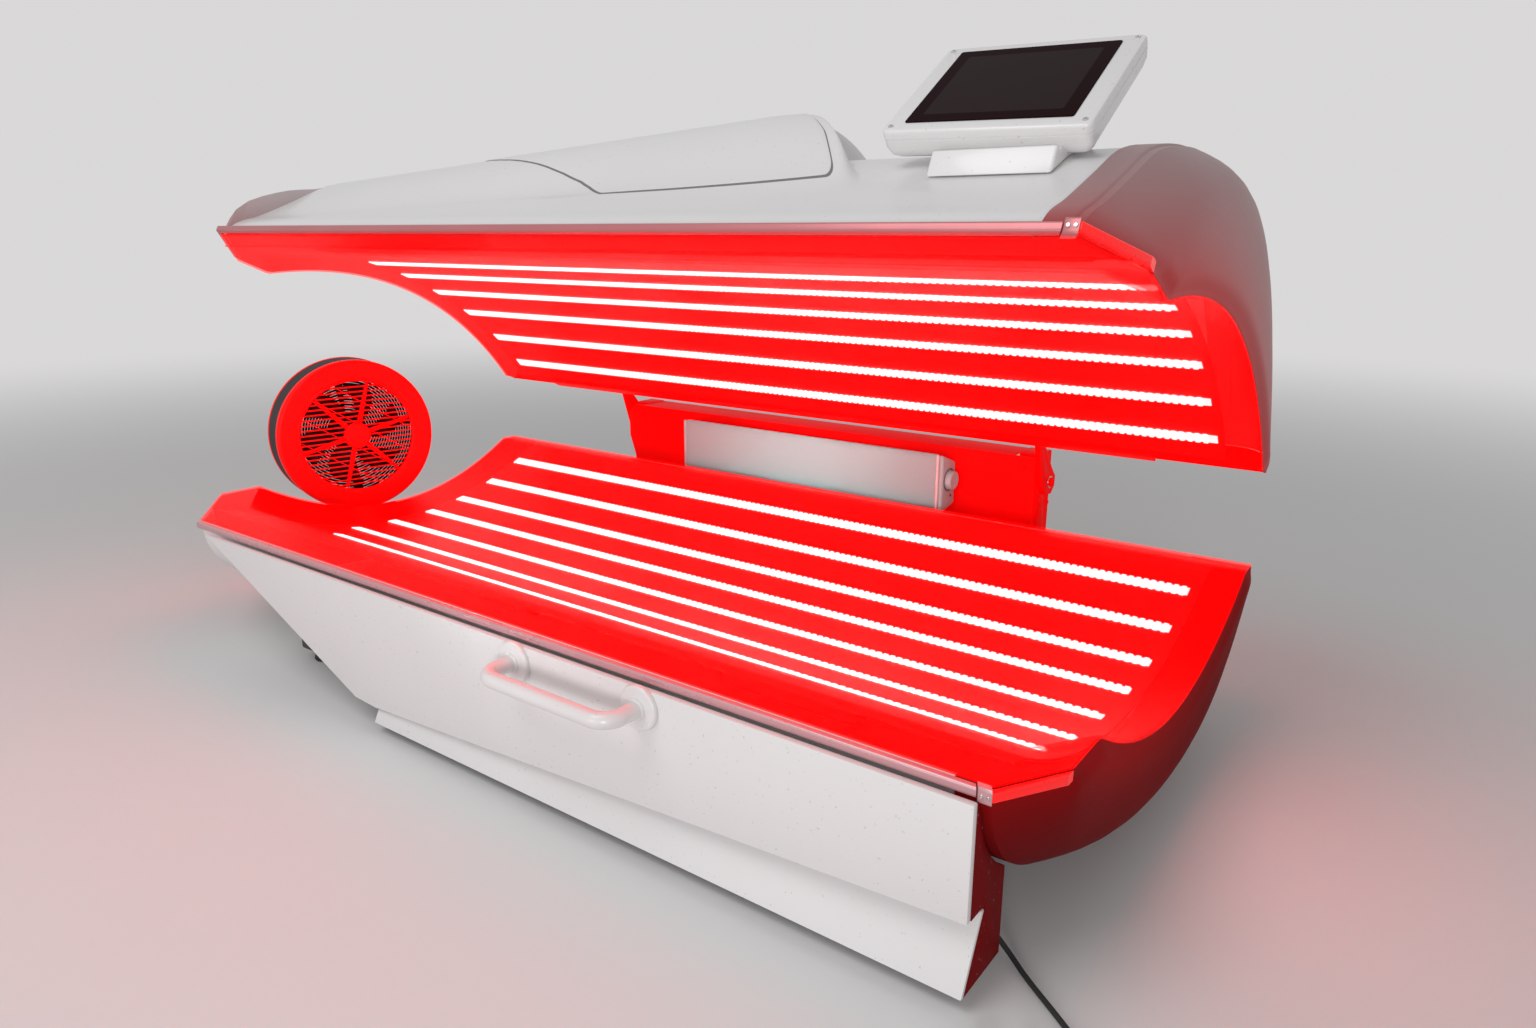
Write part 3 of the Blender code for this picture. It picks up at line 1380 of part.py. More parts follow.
def main():
    clear_scene()
    white = finish_of("white_shell", (0.78, 0.77, 0.77), 0.35)
    grey = finish_of("grey_cap", (0.42, 0.40, 0.40), 0.4)
    trim_grey = finish_of("trim_alloy", (0.45, 0.43, 0.43), 0.35, 0.7)
    clear = finish_of("red_acrylic", (0.9, 0.01, 0.01), 0.15)
    alloy = finish_of("tray_alloy", (0.7, 0.7, 0.72), 0.4, 0.9)
    lamp = finish_of("lamp_strip", (0.95, 0.93, 0.93), 0.5)
    steel = finish_of("frame_steel", (0.12, 0.12, 0.13), 0.5, 0.6)
    rubber = finish_of("cord_rubber", (0.02, 0.02, 0.02), 0.6)
    dark = finish_of("dark_plastic", (0.05, 0.05, 0.055), 0.5)
    light = finish_of("soundbar_grey", (0.58, 0.58, 0.58), 0.5)
    black = finish_of("screen_glass", (0.02, 0.02, 0.025), 0.08)

    root = empty("pod", (0.0, 0.0, 0.0))
    hinge = empty("canopy_axis", (0.0, HINGE_Y, HINGE_Z), root, (-OPEN, 0.0, 0.0))
    make_base(root, steel, rubber, white, dark)
    make_bed(root, white, trim_grey, clear, alloy, lamp)
    make_handle(root, white)
    make_column(root, grey, white)
    make_lift(hinge, root, steel, dark)
    make_soundbar(root, light, grey, dark)
    make_fan(root, white, alloy, dark)
    make_canopy(hinge, white, grey, clear, alloy, lamp)
    make_tablet(hinge, white, black)
    make_cord(root, rubber, dark)
    stand_on_origin(root)


main()
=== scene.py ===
import math

import bpy
from mathutils import Matrix, Vector


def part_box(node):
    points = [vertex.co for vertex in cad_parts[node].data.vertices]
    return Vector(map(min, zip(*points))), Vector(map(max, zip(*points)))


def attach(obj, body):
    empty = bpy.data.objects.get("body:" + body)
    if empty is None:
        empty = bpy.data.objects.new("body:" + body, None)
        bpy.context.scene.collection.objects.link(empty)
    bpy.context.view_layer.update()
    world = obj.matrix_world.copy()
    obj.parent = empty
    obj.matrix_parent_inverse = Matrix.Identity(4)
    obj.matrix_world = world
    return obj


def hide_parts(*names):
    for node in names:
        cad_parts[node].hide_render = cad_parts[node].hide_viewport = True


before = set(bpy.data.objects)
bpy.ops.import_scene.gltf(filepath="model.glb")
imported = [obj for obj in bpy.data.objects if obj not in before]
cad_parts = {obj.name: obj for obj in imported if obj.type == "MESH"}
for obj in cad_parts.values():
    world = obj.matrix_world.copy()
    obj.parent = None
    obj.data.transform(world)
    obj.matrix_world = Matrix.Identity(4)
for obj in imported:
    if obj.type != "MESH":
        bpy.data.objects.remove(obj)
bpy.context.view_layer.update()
scene = bpy.context.scene
scene.view_settings.view_transform = "Standard"

# Every piece is drawn in the bed's own axes, x along it and y back from its front rim, with the canopy shut,
# and is then moved to its place in the frame.
bedSet = {
    "depth": 1.12, "rim": 0.325, "sheetInset": 0.0143, "acrylic": 0.005,
    "facets": ((-1.135, 0.145), (-0.935, 0.0), (1.08, 0.0), (1.135, 0.09)),
    "cradleMiddle": 0.60, "cradleHalf": 0.47, "cradleSag": 0.125, "tubHalf": 1.02,
}
hingeSet = {"y": 1.30, "z": 0.388, "open": 25.0}
# the space left between pieces that rest on each other
gap = 0.0003

bedShift = Vector((sum(corner.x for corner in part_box("bed_front_trim")) / 2,
                   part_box("bed_acrylic")[1].y - bedSet["depth"], 0.0))
bedMatrix = Matrix.Translation(bedShift)
hingePoint = Vector((0.0, hingeSet["y"], hingeSet["z"]))
canopyTurn = Matrix.Rotation(-math.radians(hingeSet["open"]), 4, "X")
canopyMatrix = bedMatrix @ Matrix.Translation(hingePoint) @ canopyTurn @ Matrix.Translation(-hingePoint)


# Camera and studio

cameraSet = {"place": (1.506, -1.039, 0.978), "down": 15.62, "turn": 36.43, "focal": 1013.5, "imageWide": 1536}
studioSet = {
    "ambient": 0.36, "ambientColour": (0.98, 0.99, 1.0, 1.0), "backdrop": (0.70, 0.69, 0.69, 1.0),
    "floor": (0.80, 0.79, 0.785, 1.0), "floorNear": 1.6, "floorFar": 8.0, "floorAhead": 1.8, "floorFront": 3.0,
    "lamps": (
        ("frontLamp", (-0.40, -4.4, 0.95), (0.20, 0.0, 0.50), 1.4, 26.0),
        ("sideLamp", (2.60, -3.20, 0.75), (0.10, 1.10, 0.40), 0.9, 44.0),
        ("topLamp", (-0.30, -1.9, 3.9), (0.0, 0.4, 0.4), 2.6, 54.0),
        ("gapLamp", (0.55, -2.30, 1.05), (0.0, 1.16, 0.37), 0.4, 0.42),
    ), "gapSpread": 13.0,
}


def aimed(start, goal):
    return (Vector(goal) - Vector(start)).to_track_quat("-Z", "Y").to_euler()


def makeCamera(look):
    turn = (math.radians(90 - look["down"]), 0.0, math.radians(look["turn"]))
    bpy.ops.object.camera_add(location=bedShift + Vector(look["place"]), rotation=turn)
    eye = bpy.context.object
    eye.name = "photoCamera"
    eye.data.sensor_width = 36.0
    eye.data.lens = eye.data.sensor_width * look["focal"] / look["imageWide"]
    eye.data.clip_start = 0.02
    scene.camera = eye


def makeLamps(look):
    for name, start, goal, size, power in look["lamps"]:
        bpy.ops.object.light_add(type="AREA", location=bedShift + Vector(start), rotation=aimed(start, goal))
        lamp = bpy.context.object
        lamp.name = name
        lamp.data.shape = "DISK"
        lamp.data.size = size
        lamp.data.energy = power
        if name == "gapLamp":
            lamp.data.spread = math.radians(look["gapSpread"])


makeCamera(cameraSet)
makeLamps(studioSet)
print("camera and lamps are set")


# Shader sums

black = (0.0, 0.0, 0.0)


class Wire:
    # one socket of a material's tree: sums on wires add Math nodes, and add() makes any other node
    def __init__(self, tree, socket=None):
        self.tree = tree
        self.socket = socket

    def add(self, kind, settings=None, inputs=None, out=0):
        made = self.tree.nodes.new("ShaderNode" + kind)
        for name, value in (settings or {}).items():
            setattr(made, name, value)
        for key, value in (inputs or {}).items():
            self.plug(made.inputs[key], value)
        return Wire(self.tree, made.outputs[out])

    def plug(self, target, value):
        if isinstance(value, Wire):
            self.tree.links.new(value.socket, target)
        else:
            target.default_value = value

    def sum(self, operation, first, second):
        return self.add("Math", {"operation": operation}, {0: first, 1: second})

    def __add__(self, other):
        return self.sum("ADD", self, other)

    def __radd__(self, other):
        return self.sum("ADD", other, self)

    def __sub__(self, other):
        return self.sum("SUBTRACT", self, other)

    def __rsub__(self, other):
        return self.sum("SUBTRACT", other, self)

    def __mul__(self, other):
        return self.sum("MULTIPLY", self, other)

    def __rmul__(self, other):
        return self.sum("MULTIPLY", other, self)

    def __gt__(self, other):
        return self.sum("GREATER_THAN", self, other)

    def noise(self, scale, detail=2.0, rough=0.5):
        return self.add("TexNoise", None, {"Vector": self, "Scale": scale, "Detail": detail, "Roughness": rough})

    def stretched(self, scale):
        return self.add("Mapping", None, {"Vector": self, "Scale": scale})

    def eased(self, low, high):
        return self.add("MapRange", {"interpolation_type": "SMOOTHSTEP"},
                        {"Value": self, "From Min": low, "From Max": high})

    def tint(self, first, second):
        ends = [end if isinstance(end, Wire) else (*end[:3], 1.0) for end in (first, second)]
        return self.add("Mix", {"data_type": "RGBA"}, {0: self, 6: ends[0], 7: ends[1]}, 2)

    def bump(self, strength, distance):
        return self.add("Bump", None, {"Height": self, "Strength": strength, "Distance": distance})


def newFinish(name):
    finish = bpy.data.materials.new(name)
    finish.use_nodes = True
    finish.cycles.emission_sampling = "NONE"
    return finish, Wire(finish.node_tree).add("TexCoord", None, None, "Object")


def fill(finish, values):
    wire = Wire(finish.node_tree)
    sockets = finish.node_tree.nodes["Principled BSDF"].inputs
    for name, value in values.items():
        wire.plug(sockets[name], value)
    return finish


def moulded(name, **look):
    # moulded plastic or paint: faint clouding, a fine grain, a few dust specks and a soft orange peel
    finish, place = newFinish(name)
    cloud = place.noise(2.3, 4.0, 0.6)
    grain = place.noise(look.get("grain", 900.0), 2.0)
    peel = place.noise(70.0, 2.0) * 0.7 + grain * 0.3
    colour = (cloud * 0.75 + grain * 0.25).tint(look["colour"], look["shade"])
    vary = 0.14
    values = {"Roughness": cloud * vary + grain * 0.06 + (look["rough"] - vary * 0.5),
              "Normal": peel.bump(look.get("depth", 0.12), 0.002), "Specular IOR Level": look.get("gloss", 0.5),
              "Coat Weight": look.get("coat", 0.0), "Coat Roughness": 0.12}
    if "glow" in look:
        # painted red light and shade next to the lit sheet: towards the rim the base colour turns darker and redder,
        # and the thin moulding glows red
        edge = place.add("Attribute", {"attribute_name": "litEdge"}, None, "Fac")
        values["Base Color"] = edge.tint(colour, look["rim"])
        values["Emission Color"] = edge.tint(black, look["glow"])
    else:
        dust = place.noise(170.0, 1.0) > look.get("dust", 0.74)
        values["Base Color"] = (dust * 0.35).tint(colour, look.get("dirt", (0.35, 0.33, 0.32)))
    if "bathed" in look:
        # the lamps' red light that this piece stands in
        values["Emission Color"] = cloud.tint(look["bathed"], [c * 0.8 for c in look["bathed"]])
    if "Emission Color" in values:
        values["Emission Strength"] = 1.0
    return fill(finish, values)


def brushed(name, **look):
    # drawn or rolled metal: long fine lines along the grain, small scratches and finger marks
    finish, place = newFinish(name)
    lines = place.stretched(look["along"]).noise(60.0, 3.0, 0.6)
    marks = place.noise(9.0, 4.0, 0.65)
    return fill(finish, {"Base Color": (lines * 0.6 + marks * 0.4).tint(look["colour"], look["shade"]),
                         "Roughness": lines * 0.14 + marks * 0.12 + (look["rough"] - 0.13),
                         "Normal": lines.bump(0.10, 0.001), "Metallic": look["metal"]})


def lit(name, **look):
    # a surface that shines evenly, with a faint unevenness from the lamps behind it; on the trays and the trims'
    # corner runs the shine is painted red light
    finish, place = newFinish(name)
    cloud = place.noise(look.get("cloud", 6.0), 3.0)
    return fill(finish, {"Base Color": cloud.tint(look["colour"], look["shade"]),
                         "Emission Color": cloud.tint(look["shine"], look["shineLow"]),
                         "Emission Strength": look["power"],
                         "Roughness": place.noise(40.0, 3.0) * 0.10 + (look["rough"] - 0.05),
                         "Normal": place.noise(14.0, 2.0).bump(0.03, 0.002), "Alpha": look.get("alpha", 1.0),
                         "Specular IOR Level": look.get("gloss", 0.5)})


def woven(name, **look):
    # speaker cloth: two crossed threads, with the holes between them darker
    finish, place = newFinish(name)
    across, upward = (place.add("TexWave", {"wave_type": "BANDS", "bands_direction": way, "wave_profile": "SIN"},
                                {"Vector": place, "Scale": look["threads"], "Distortion": 0.4, "Detail": 1.0})
                      for way in ("X", "Z"))
    slub = place.noise(220.0, 3.0)
    cloth = across * upward * 0.7 + slub * 0.3
    return fill(finish, {"Base Color": cloth.tint(look["shade"], look["colour"]), "Roughness": slub * 0.1 + 0.72,
                         "Normal": cloth.bump(0.35, 0.0008)})


def darkGlass(name, **look):
    # black glass over a display: the display's field is a little lighter than its border
    finish, place = newFinish(name)
    field = place.add("Attribute", {"attribute_name": "screenField"}, None, "Fac")
    smear = place.noise(14.0, 4.0, 0.6)
    return fill(finish, {"Base Color": (field * (0.75 + 0.25 * smear)).tint(look["colour"], look["field"]),
                         "Roughness": smear * 0.10 + 0.03, "Normal": place.noise(6.0, 2.0).bump(0.02, 0.001),
                         "Specular IOR Level": 0.01})


def floorFinish(name, look):
    # a pale floor that melts into the backdrop further away, and before the low lamps in front
    finish, place = newFinish(name)
    cloud = place.noise(0.8, 5.0, 0.6)
    pale = cloud.tint(look["floor"], [c * 0.965 for c in look["floor"]])
    reach = place.add("VectorMath", {"operation": "LENGTH"}, {0: place}, "Value")
    away = reach.eased(look["floorNear"], look["floorFar"])
    front = place.add("SeparateXYZ", None, {0: place}, "Y").eased(-look["floorAhead"], -look["floorFront"])
    far = away + front - away * front
    return fill(finish, {"Base Color": far.tint(pale, black), "Emission Color": far.tint(black, look["backdrop"]),
                         "Emission Strength": 1.0, "Specular IOR Level": 0.0, "Roughness": cloud * 0.15 + 0.5,
                         "Normal": place.noise(120.0, 3.0).bump(0.04, 0.002)})


def makeWorld(look):
    scene.world = bpy.data.worlds.new("studioWorld")
    scene.world.use_nodes = True
    tree = scene.world.node_tree
    wire = Wire(tree)
    soft = wire.add("Background", None, {"Color": look["ambientColour"], "Strength": look["ambient"]})
    seen = wire.add("Background", None, {"Color": look["backdrop"], "Strength": 1.0})
    camera, gloss, through = (wire.add("LightPath", None, None, f"Is {kind} Ray")
                              for kind in ("Camera", "Glossy", "Transmission"))
    mixed = wire.add("MixShader", None, {0: camera + gloss + through, 1: soft, 2: seen})
    wire.plug(tree.nodes["World Output"].inputs["Surface"], mixed)


def makeFloor(look):
    deselectAll()
    bpy.ops.mesh.primitive_plane_add(size=60.0)
    floor = bpy.context.object
    floor.name = "studioFloor"
    floor.data.materials.append(floorFinish("paleFloor", look))


whiteShell = moulded("whiteShell", colour=(0.76, 0.745, 0.745), shade=(0.69, 0.675, 0.675), rough=0.30, coat=0.35,
                     depth=0.06)
whitePanel = moulded("whitePanel", colour=(0.755, 0.735, 0.735), shade=(0.68, 0.665, 0.67), rough=0.50, depth=0.08)
# the right canopy cap's darker, cool grey is painted shade, cooled against the red light on it; the caps' rim colours
# and glows are painted shade and red light next to the lit sheets
rightCapShadedGrey = moulded("rightCapShadedGrey", colour=(0.315, 0.345, 0.35), shade=(0.27, 0.29, 0.295), rough=0.40, gloss=0.25,
                  depth=0.10, rim=(0.13, 0.006, 0.008), glow=(0.20, 0.0, 0.0))
collarGrey = moulded("collarGrey", colour=(0.56, 0.53, 0.535), shade=(0.49, 0.46, 0.465), rough=0.40, depth=0.10,
                     rim=(0.40, 0.20, 0.205), glow=(0.06, 0.0, 0.0))
# the bed caps are grey mouldings painted dark red all over: painted shade, with the red light of the sheets
bedCapShadedRed = moulded("bedCapShadedRed", colour=(0.13, 0.006, 0.007), shade=(0.10, 0.004, 0.005), rough=0.50, depth=0.12,
                    gloss=0.03, rim=(0.20, 0.004, 0.005), glow=(0.08, 0.0, 0.0))
# the right skirt return is a white panel painted dark red: painted shade, with the red light of the sheets
returnShadedRed = moulded("returnShadedRed", colour=(0.20, 0.005, 0.006), shade=(0.16, 0.003, 0.004), rough=0.5, gloss=0.03)
seamAndShadeGrey = moulded("seamAndShadeGrey", colour=(0.20, 0.19, 0.19), shade=(0.14, 0.135, 0.135), rough=0.6)
# both trims are grey alloy: their pink and red colours are a painted reflection of the lit red sheets
trimAlloyPinkReflection = brushed("trimAlloyPinkReflection", colour=(0.70, 0.40, 0.42), shade=(0.52, 0.28, 0.30), rough=0.28, metal=0.4,
                    along=(0.05, 1.0, 1.0))
trimAlloyRedReflection = brushed("trimAlloyRedReflection", colour=(0.56, 0.19, 0.20), shade=(0.40, 0.13, 0.14), rough=0.32, metal=0.4,
                   along=(0.05, 1.0, 1.0))
# the trims' corner runs are alloy: their red colour and glow are painted red light from the sheets
trimLit = lit("trimLit", colour=(0.75, 0.01, 0.01), shade=(0.62, 0.005, 0.006), shine=(1.0, 0.0, 0.0),
              shineLow=(0.8, 0.0, 0.0), power=0.5, rough=0.28, gloss=0.5)
redAcrylic = lit("redAcrylic", colour=(0.80, 0.004, 0.004), shade=(0.70, 0.002, 0.004), shine=(1.0, 0.0, 0.0),
                 shineLow=(0.92, 0.0, 0.0), power=0.95, rough=0.34, alpha=0.42, gloss=0.06)
# the trays are alloy: their red colour and glow are painted red light from their lamps and the sheets
trayGlow = lit("trayGlow", colour=(0.60, 0.02, 0.02), shade=(0.50, 0.01, 0.01), shine=(1.0, 0.0, 0.0),
               shineLow=(0.85, 0.0, 0.0), power=0.75, rough=0.45, gloss=0.2)
lampBoard = lit("lampBoard", colour=(0.8, 0.78, 0.78), shade=(0.7, 0.68, 0.68), shine=(1.0, 0.92, 0.92),
                shineLow=(1.0, 0.86, 0.86), power=2.9, rough=0.5, cloud=30.0)
lampChip = lit("lampChip", colour=(0.9, 0.88, 0.88), shade=(0.85, 0.82, 0.82), shine=(1.0, 0.97, 0.97),
               shineLow=(1.0, 0.92, 0.92), power=3.6, rough=0.3, cloud=60.0)
# the fan's and the column's saturated red colour is painted red light from the lit sheets on them, besides the glow
# they are given
fanRedLit = moulded("fanRedLit", colour=(0.84, 0.004, 0.004), shade=(0.72, 0.002, 0.003), rough=0.38, dust=0.80, depth=0.08,
                 gloss=0.15, bathed=(0.34, 0.0, 0.0))
columnRedLit = moulded("columnRedLit", colour=(0.82, 0.004, 0.004), shade=(0.70, 0.002, 0.003), rough=0.42, grain=500.0,
                    dust=0.80, depth=0.16, gloss=0.02, bathed=(0.38, 0.0, 0.0))
steelPaint = moulded("steelPaint", colour=(0.035, 0.034, 0.036), shade=(0.022, 0.021, 0.022), rough=0.5, grain=420.0,
                     depth=0.25, dirt=(0.12, 0.11, 0.10))
darkPlasticAndShade = moulded("darkPlasticAndShade", colour=(0.028, 0.027, 0.028), shade=(0.018, 0.017, 0.018), rough=0.55, depth=0.2,
                      gloss=0.2, dirt=(0.10, 0.095, 0.09))
rubber = moulded("rubber", colour=(0.020, 0.019, 0.019), shade=(0.012, 0.012, 0.012), rough=0.7, grain=300.0,
                 depth=0.3, dirt=(0.09, 0.085, 0.08))
brightSteel = brushed("brightSteel", colour=(0.66, 0.65, 0.64), shade=(0.50, 0.49, 0.48), rough=0.24, metal=1.0,
                      along=(1.0, 1.0, 0.2))
# the soundbar is light grey: its blue-green tint is painted against the red light of the lit sheets on it
barPlastic = moulded("barPlastic", colour=(0.37, 0.62, 0.625), shade=(0.33, 0.56, 0.565), rough=0.34, coat=0.2)
barBand = moulded("barBand", colour=(0.84, 0.84, 0.84), shade=(0.78, 0.78, 0.78), rough=0.22)
barCloth = woven("barCloth", colour=(0.35, 0.66, 0.665), shade=(0.26, 0.50, 0.505), threads=190.0)
screenGlass = darkGlass("screenGlass", colour=(0.012, 0.002, 0.003), field=(0.026, 0.017, 0.018))
print("finishes are mixed")


# Modelling by hand, in code

def deselectAll():
    bpy.ops.object.select_all(action="DESELECT")


def take(piece):
    deselectAll()
    piece.select_set(True)
    bpy.context.view_layer.objects.active = piece


def edited(piece, *steps):
    take(piece)
    bpy.ops.object.mode_set(mode="EDIT")
    bpy.ops.mesh.select_all(action="SELECT")
    for step in steps:
        step()
    bpy.ops.object.mode_set(mode="OBJECT")


def mergeSeams():
    bpy.ops.mesh.remove_doubles(threshold=0.00002)


def closeEnds():
    bpy.ops.mesh.fill_holes(sides=0)


def faceOut():
    bpy.ops.mesh.normals_make_consistent(inside=False)


def dissolveFlats():
    bpy.ops.mesh.dissolve_limited(angle_limit=math.radians(0.8))


def applied(piece, kind, **settings):
    take(piece)
    change = piece.modifiers.new(kind.lower(), kind)
    for name, value in settings.items():
        setattr(change, name, value)
    bpy.ops.object.modifier_apply(modifier=change.name)


def thicken(piece, thickness):
    applied(piece, "SOLIDIFY", thickness=thickness, offset=-1.0, use_even_offset=True)


def soften(piece, width, segments=2, angle=28.0):
    applied(piece, "BEVEL", width=width, segments=segments, limit_method="ANGLE", angle_limit=math.radians(angle),
            harden_normals=False)


def smooth(piece, angle=32.0):
    take(piece)
    bpy.ops.object.shade_smooth_by_angle(angle=math.radians(angle), keep_sharp_edges=False)


def placed(piece, angle, matrix):
    smooth(piece, angle)
    piece.data.transform(matrix)
    return piece


def repeat(piece, count, step):
    applied(piece, "ARRAY", count=count, use_relative_offset=False, use_constant_offset=True,
            constant_offset_displace=step)


def joined(name, parts):
    deselectAll()
    for part in parts:
        part.select_set(True)
    bpy.context.view_layer.objects.active = parts[0]
    if len(parts) > 1:
        bpy.ops.object.join()
    parts[0].name = name
    return parts[0]


def dress(piece, finish, body, slot, *nodes):
    piece.data.materials.clear()
    piece.data.materials.append(finish)
    return seat(piece, body, slot, *nodes)


def seat(piece, body, slot, *nodes):
    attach(piece, body)
    if nodes:
        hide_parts(*nodes)
    return piece


def gridSheet(name, us, vs, point):
    # a grid is laid down and each of its crossings is moved to its place
    deselectAll()
    bpy.ops.mesh.primitive_grid_add(x_subdivisions=len(us) - 1, y_subdivisions=len(vs) - 1, size=2.0)
    sheet = bpy.context.object
    sheet.name = name
    for corner in sheet.data.vertices:
        i = round((corner.co.x + 1) / 2 * (len(us) - 1))
        j = round((corner.co.y + 1) / 2 * (len(vs) - 1))
        corner.co = point(us[i], vs[j])
    sheet.data.update()
    return sheet


def turnTo(sheet, direction):
    # an open sheet's faces are turned to look the way they should
    total = sum((face.normal * face.area for face in sheet.data.polygons), Vector())
    if total.dot(Vector(direction)) < 0:
        edited(sheet, bpy.ops.mesh.flip_normals)


def skin(name, us, vs, point, facing, wall, edge, angle, matrix):
    # a grid that looks one way is given its wall and its place; edge is a bevel's width and least angle
    sheet = gridSheet(name, us, vs, point)
    turnTo(sheet, facing)
    thicken(sheet, wall)
    if edge:
        soften(sheet, edge[0], 2, edge[1])
    if angle:
        smooth(sheet, angle)
    sheet.data.transform(matrix)
    return sheet


def arc(middle, radius, first, last, count):
    turns = (math.radians(a) for a in spread(first, last, count))
    return [(middle[0] + radius * math.cos(a), middle[1] + radius * math.sin(a)) for a in turns]


def block(name, low, high):
    # a cube is stretched between two corners
    deselectAll()
    bpy.ops.mesh.primitive_cube_add(size=1.0)
    made = bpy.context.object
    made.name = name
    size = [b - a for a, b in zip(low, high)]
    middle = [(a + b) / 2 for a, b in zip(low, high)]
    made.data.transform(Matrix.Translation(middle) @ Matrix.Diagonal((*size, 1.0)))
    return made


def tube(name, points, radius, roundness):
    curve = bpy.data.curves.new(name, "CURVE")
    curve.dimensions = "3D"
    curve.bevel_depth = radius
    curve.bevel_resolution = roundness
    curve.use_fill_caps = True
    spline = curve.splines.new("POLY")
    spline.points.add(len(points) - 1)
    for target, point in zip(spline.points, points):
        target.co = (*point, 1.0)
    made = bpy.data.objects.new(name, curve)
    scene.collection.objects.link(made)
    return made


def lathe(name, profile, steps, matrix, angle=None):
    # a profile of (radius, height) spun round its own z axis; it closes on itself unless it starts on the axis
    line = list(profile) if profile[0][0] == 0 else [*profile, profile[0]]
    turns = [2 * math.pi * k / steps for k in range(steps + 1)]
    made = gridSheet(name, turns, line, lambda a, p: Vector((p[0] * math.cos(a), p[0] * math.sin(a), p[1])))
    edited(made, mergeSeams, faceOut)
    made.data.transform(matrix)
    if angle:
        smooth(made, angle)
    return made


def loft(name, rings):
    # rings of equal count, joined side by side and closed at both ends
    count = len(rings[0])
    made = gridSheet(name, list(range(len(rings))), list(range(count + 1)), lambda i, k: Vector(rings[i][k % count]))
    edited(made, mergeSeams, closeEnds, faceOut)
    return made


def cadCopy(name, node, width=0.0, segments=2, angle=28.0):
    # a CAD solid's own shape, merged, with its edges softened
    copy = bpy.data.objects.new(name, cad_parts[node].data.copy())
    scene.collection.objects.link(copy)
    take(copy)
    if copy.data.has_custom_normals:
        bpy.ops.mesh.customdata_custom_splitnormals_clear()
    edited(copy, mergeSeams, dissolveFlats, faceOut)
    if width:
        soften(copy, width, segments, angle)
    smooth(copy)
    return copy


def cadPiece(name, node, width, finish, body, slot, angle=28.0):
    return dress(cadCopy(name, node, width, 2, angle), finish, body, slot, node)


def cadPair(name, node, width, finish, body, slot, angle=28.0):
    # a left and a right piece, each on a body of its own where none is named
    for side in ("Left", "Right"):
        own = f"{node}_{side.lower()}"
        cadPiece(name + side, own, width, finish, body or own, slot, angle)


def seatAt(point, axis, matrix=bedMatrix):
    turn = Vector(axis).normalized().to_track_quat("Z", "Y").to_matrix().to_4x4()
    return matrix @ Matrix.Translation(Vector(point)) @ turn


def screwSet(name, radius, seats, finish, body, slot):
    high = radius * 0.55
    profile = ((0.0, high * 0.35), (radius * 0.42, high * 0.35), (radius * 0.5, high), (radius * 0.8, high),
               (radius, high * 0.55), (radius, 0.0), (0.0, 0.0))
    heads = [lathe(f"{name}{k}", profile, 18, matrix, 32.0) for k, matrix in enumerate(seats)]
    dress(joined(name, heads), finish, body, slot)


def blend(a, b, share):
    return a + (b - a) * share


def ease(value):
    t = min(1.0, max(0.0, value))
    return t * t * (3 - 2 * t)


def spread(low, high, count):
    return [blend(low, high, k / (count - 1)) for k in range(count)]


def markPoints(piece, name, values):
    layer = piece.data.attributes.new(name, "FLOAT", "POINT")
    layer.data.foreach_set("value", values)


makeWorld(studioSet)
makeFloor(studioSet)


# Mains cord, which leaves the base at its right end

cordSet = {
    "diameter": 0.008, "mouth": (0.9806, 0.13, 0.05), "steps": 3,
    "route": ((1.000, 0.1300, 0.0492), (1.020, 0.1295, 0.0420), (1.045, 0.1250, 0.0262), (1.070, 0.1165, 0.0125),
              (1.096, 0.0990, 0.0068), (1.122, 0.0800, 0.0060), (1.150, 0.0600, 0.0060), (1.178, 0.0395, 0.0060),
              (1.205, 0.0190, 0.0060), (1.232, -0.0030, 0.0060), (1.260, -0.0270, 0.0060)),
    "coilInner": 0.032, "coilPitch": 0.0104, "coilLayer": 0.0088, "coilTurns": 3.0, "coilPoints": 24, "tail": 0.034,
}


def smoothRoute(points, steps):
    ends = [points[0], *points, points[-1]]
    line = []
    for k in range(len(points) - 1):
        a, b, c, d = (Vector(p) for p in ends[k:k + 4])
        for n in range(steps):
            t = n / steps
            line.append(0.5 * (2 * b + (c - a) * t + (2 * a - 5 * b + 4 * c - d) * t * t
                               + (3 * b - a - 3 * c + d) * t ** 3))
    line.append(Vector(points[-1]))
    return line


def coilLine(start, heading, look):
    # loops to the right that spiral in on the floor, climb a layer and spiral out again
    outer = look["coilInner"] + look["coilPitch"] * look["coilTurns"]
    right = Vector((heading.y, -heading.x))
    middle = Vector((start.x, start.y)) + heading * look["diameter"] + right * outer
    base = math.atan2(-right.y, -right.x)
    climbTurn = 0.5
    total = 2 * look["coilTurns"] + climbTurn
    count = round(look["coilPoints"] * total)
    line = [Vector(start)]
    for k in range(count + 1):
        turn = total * k / count
        climb = ease((turn - look["coilTurns"]) / climbTurn)
        inward = min(turn, look["coilTurns"])
        outward = max(0.0, turn - look["coilTurns"] - climbTurn)
        radius = outer - look["coilPitch"] * (inward - outward)
        angle = base - 2 * math.pi * turn
        spot = middle + Vector((math.cos(angle), math.sin(angle))) * radius
        line.append(Vector((spot.x, spot.y, start.z + look["coilLayer"] * climb)))
    across = line[-1] - Vector((*middle, line[-1].z))
    line.append(line[-1] + Vector((across.y, -across.x, 0.0)).normalized() * look["tail"])
    return line


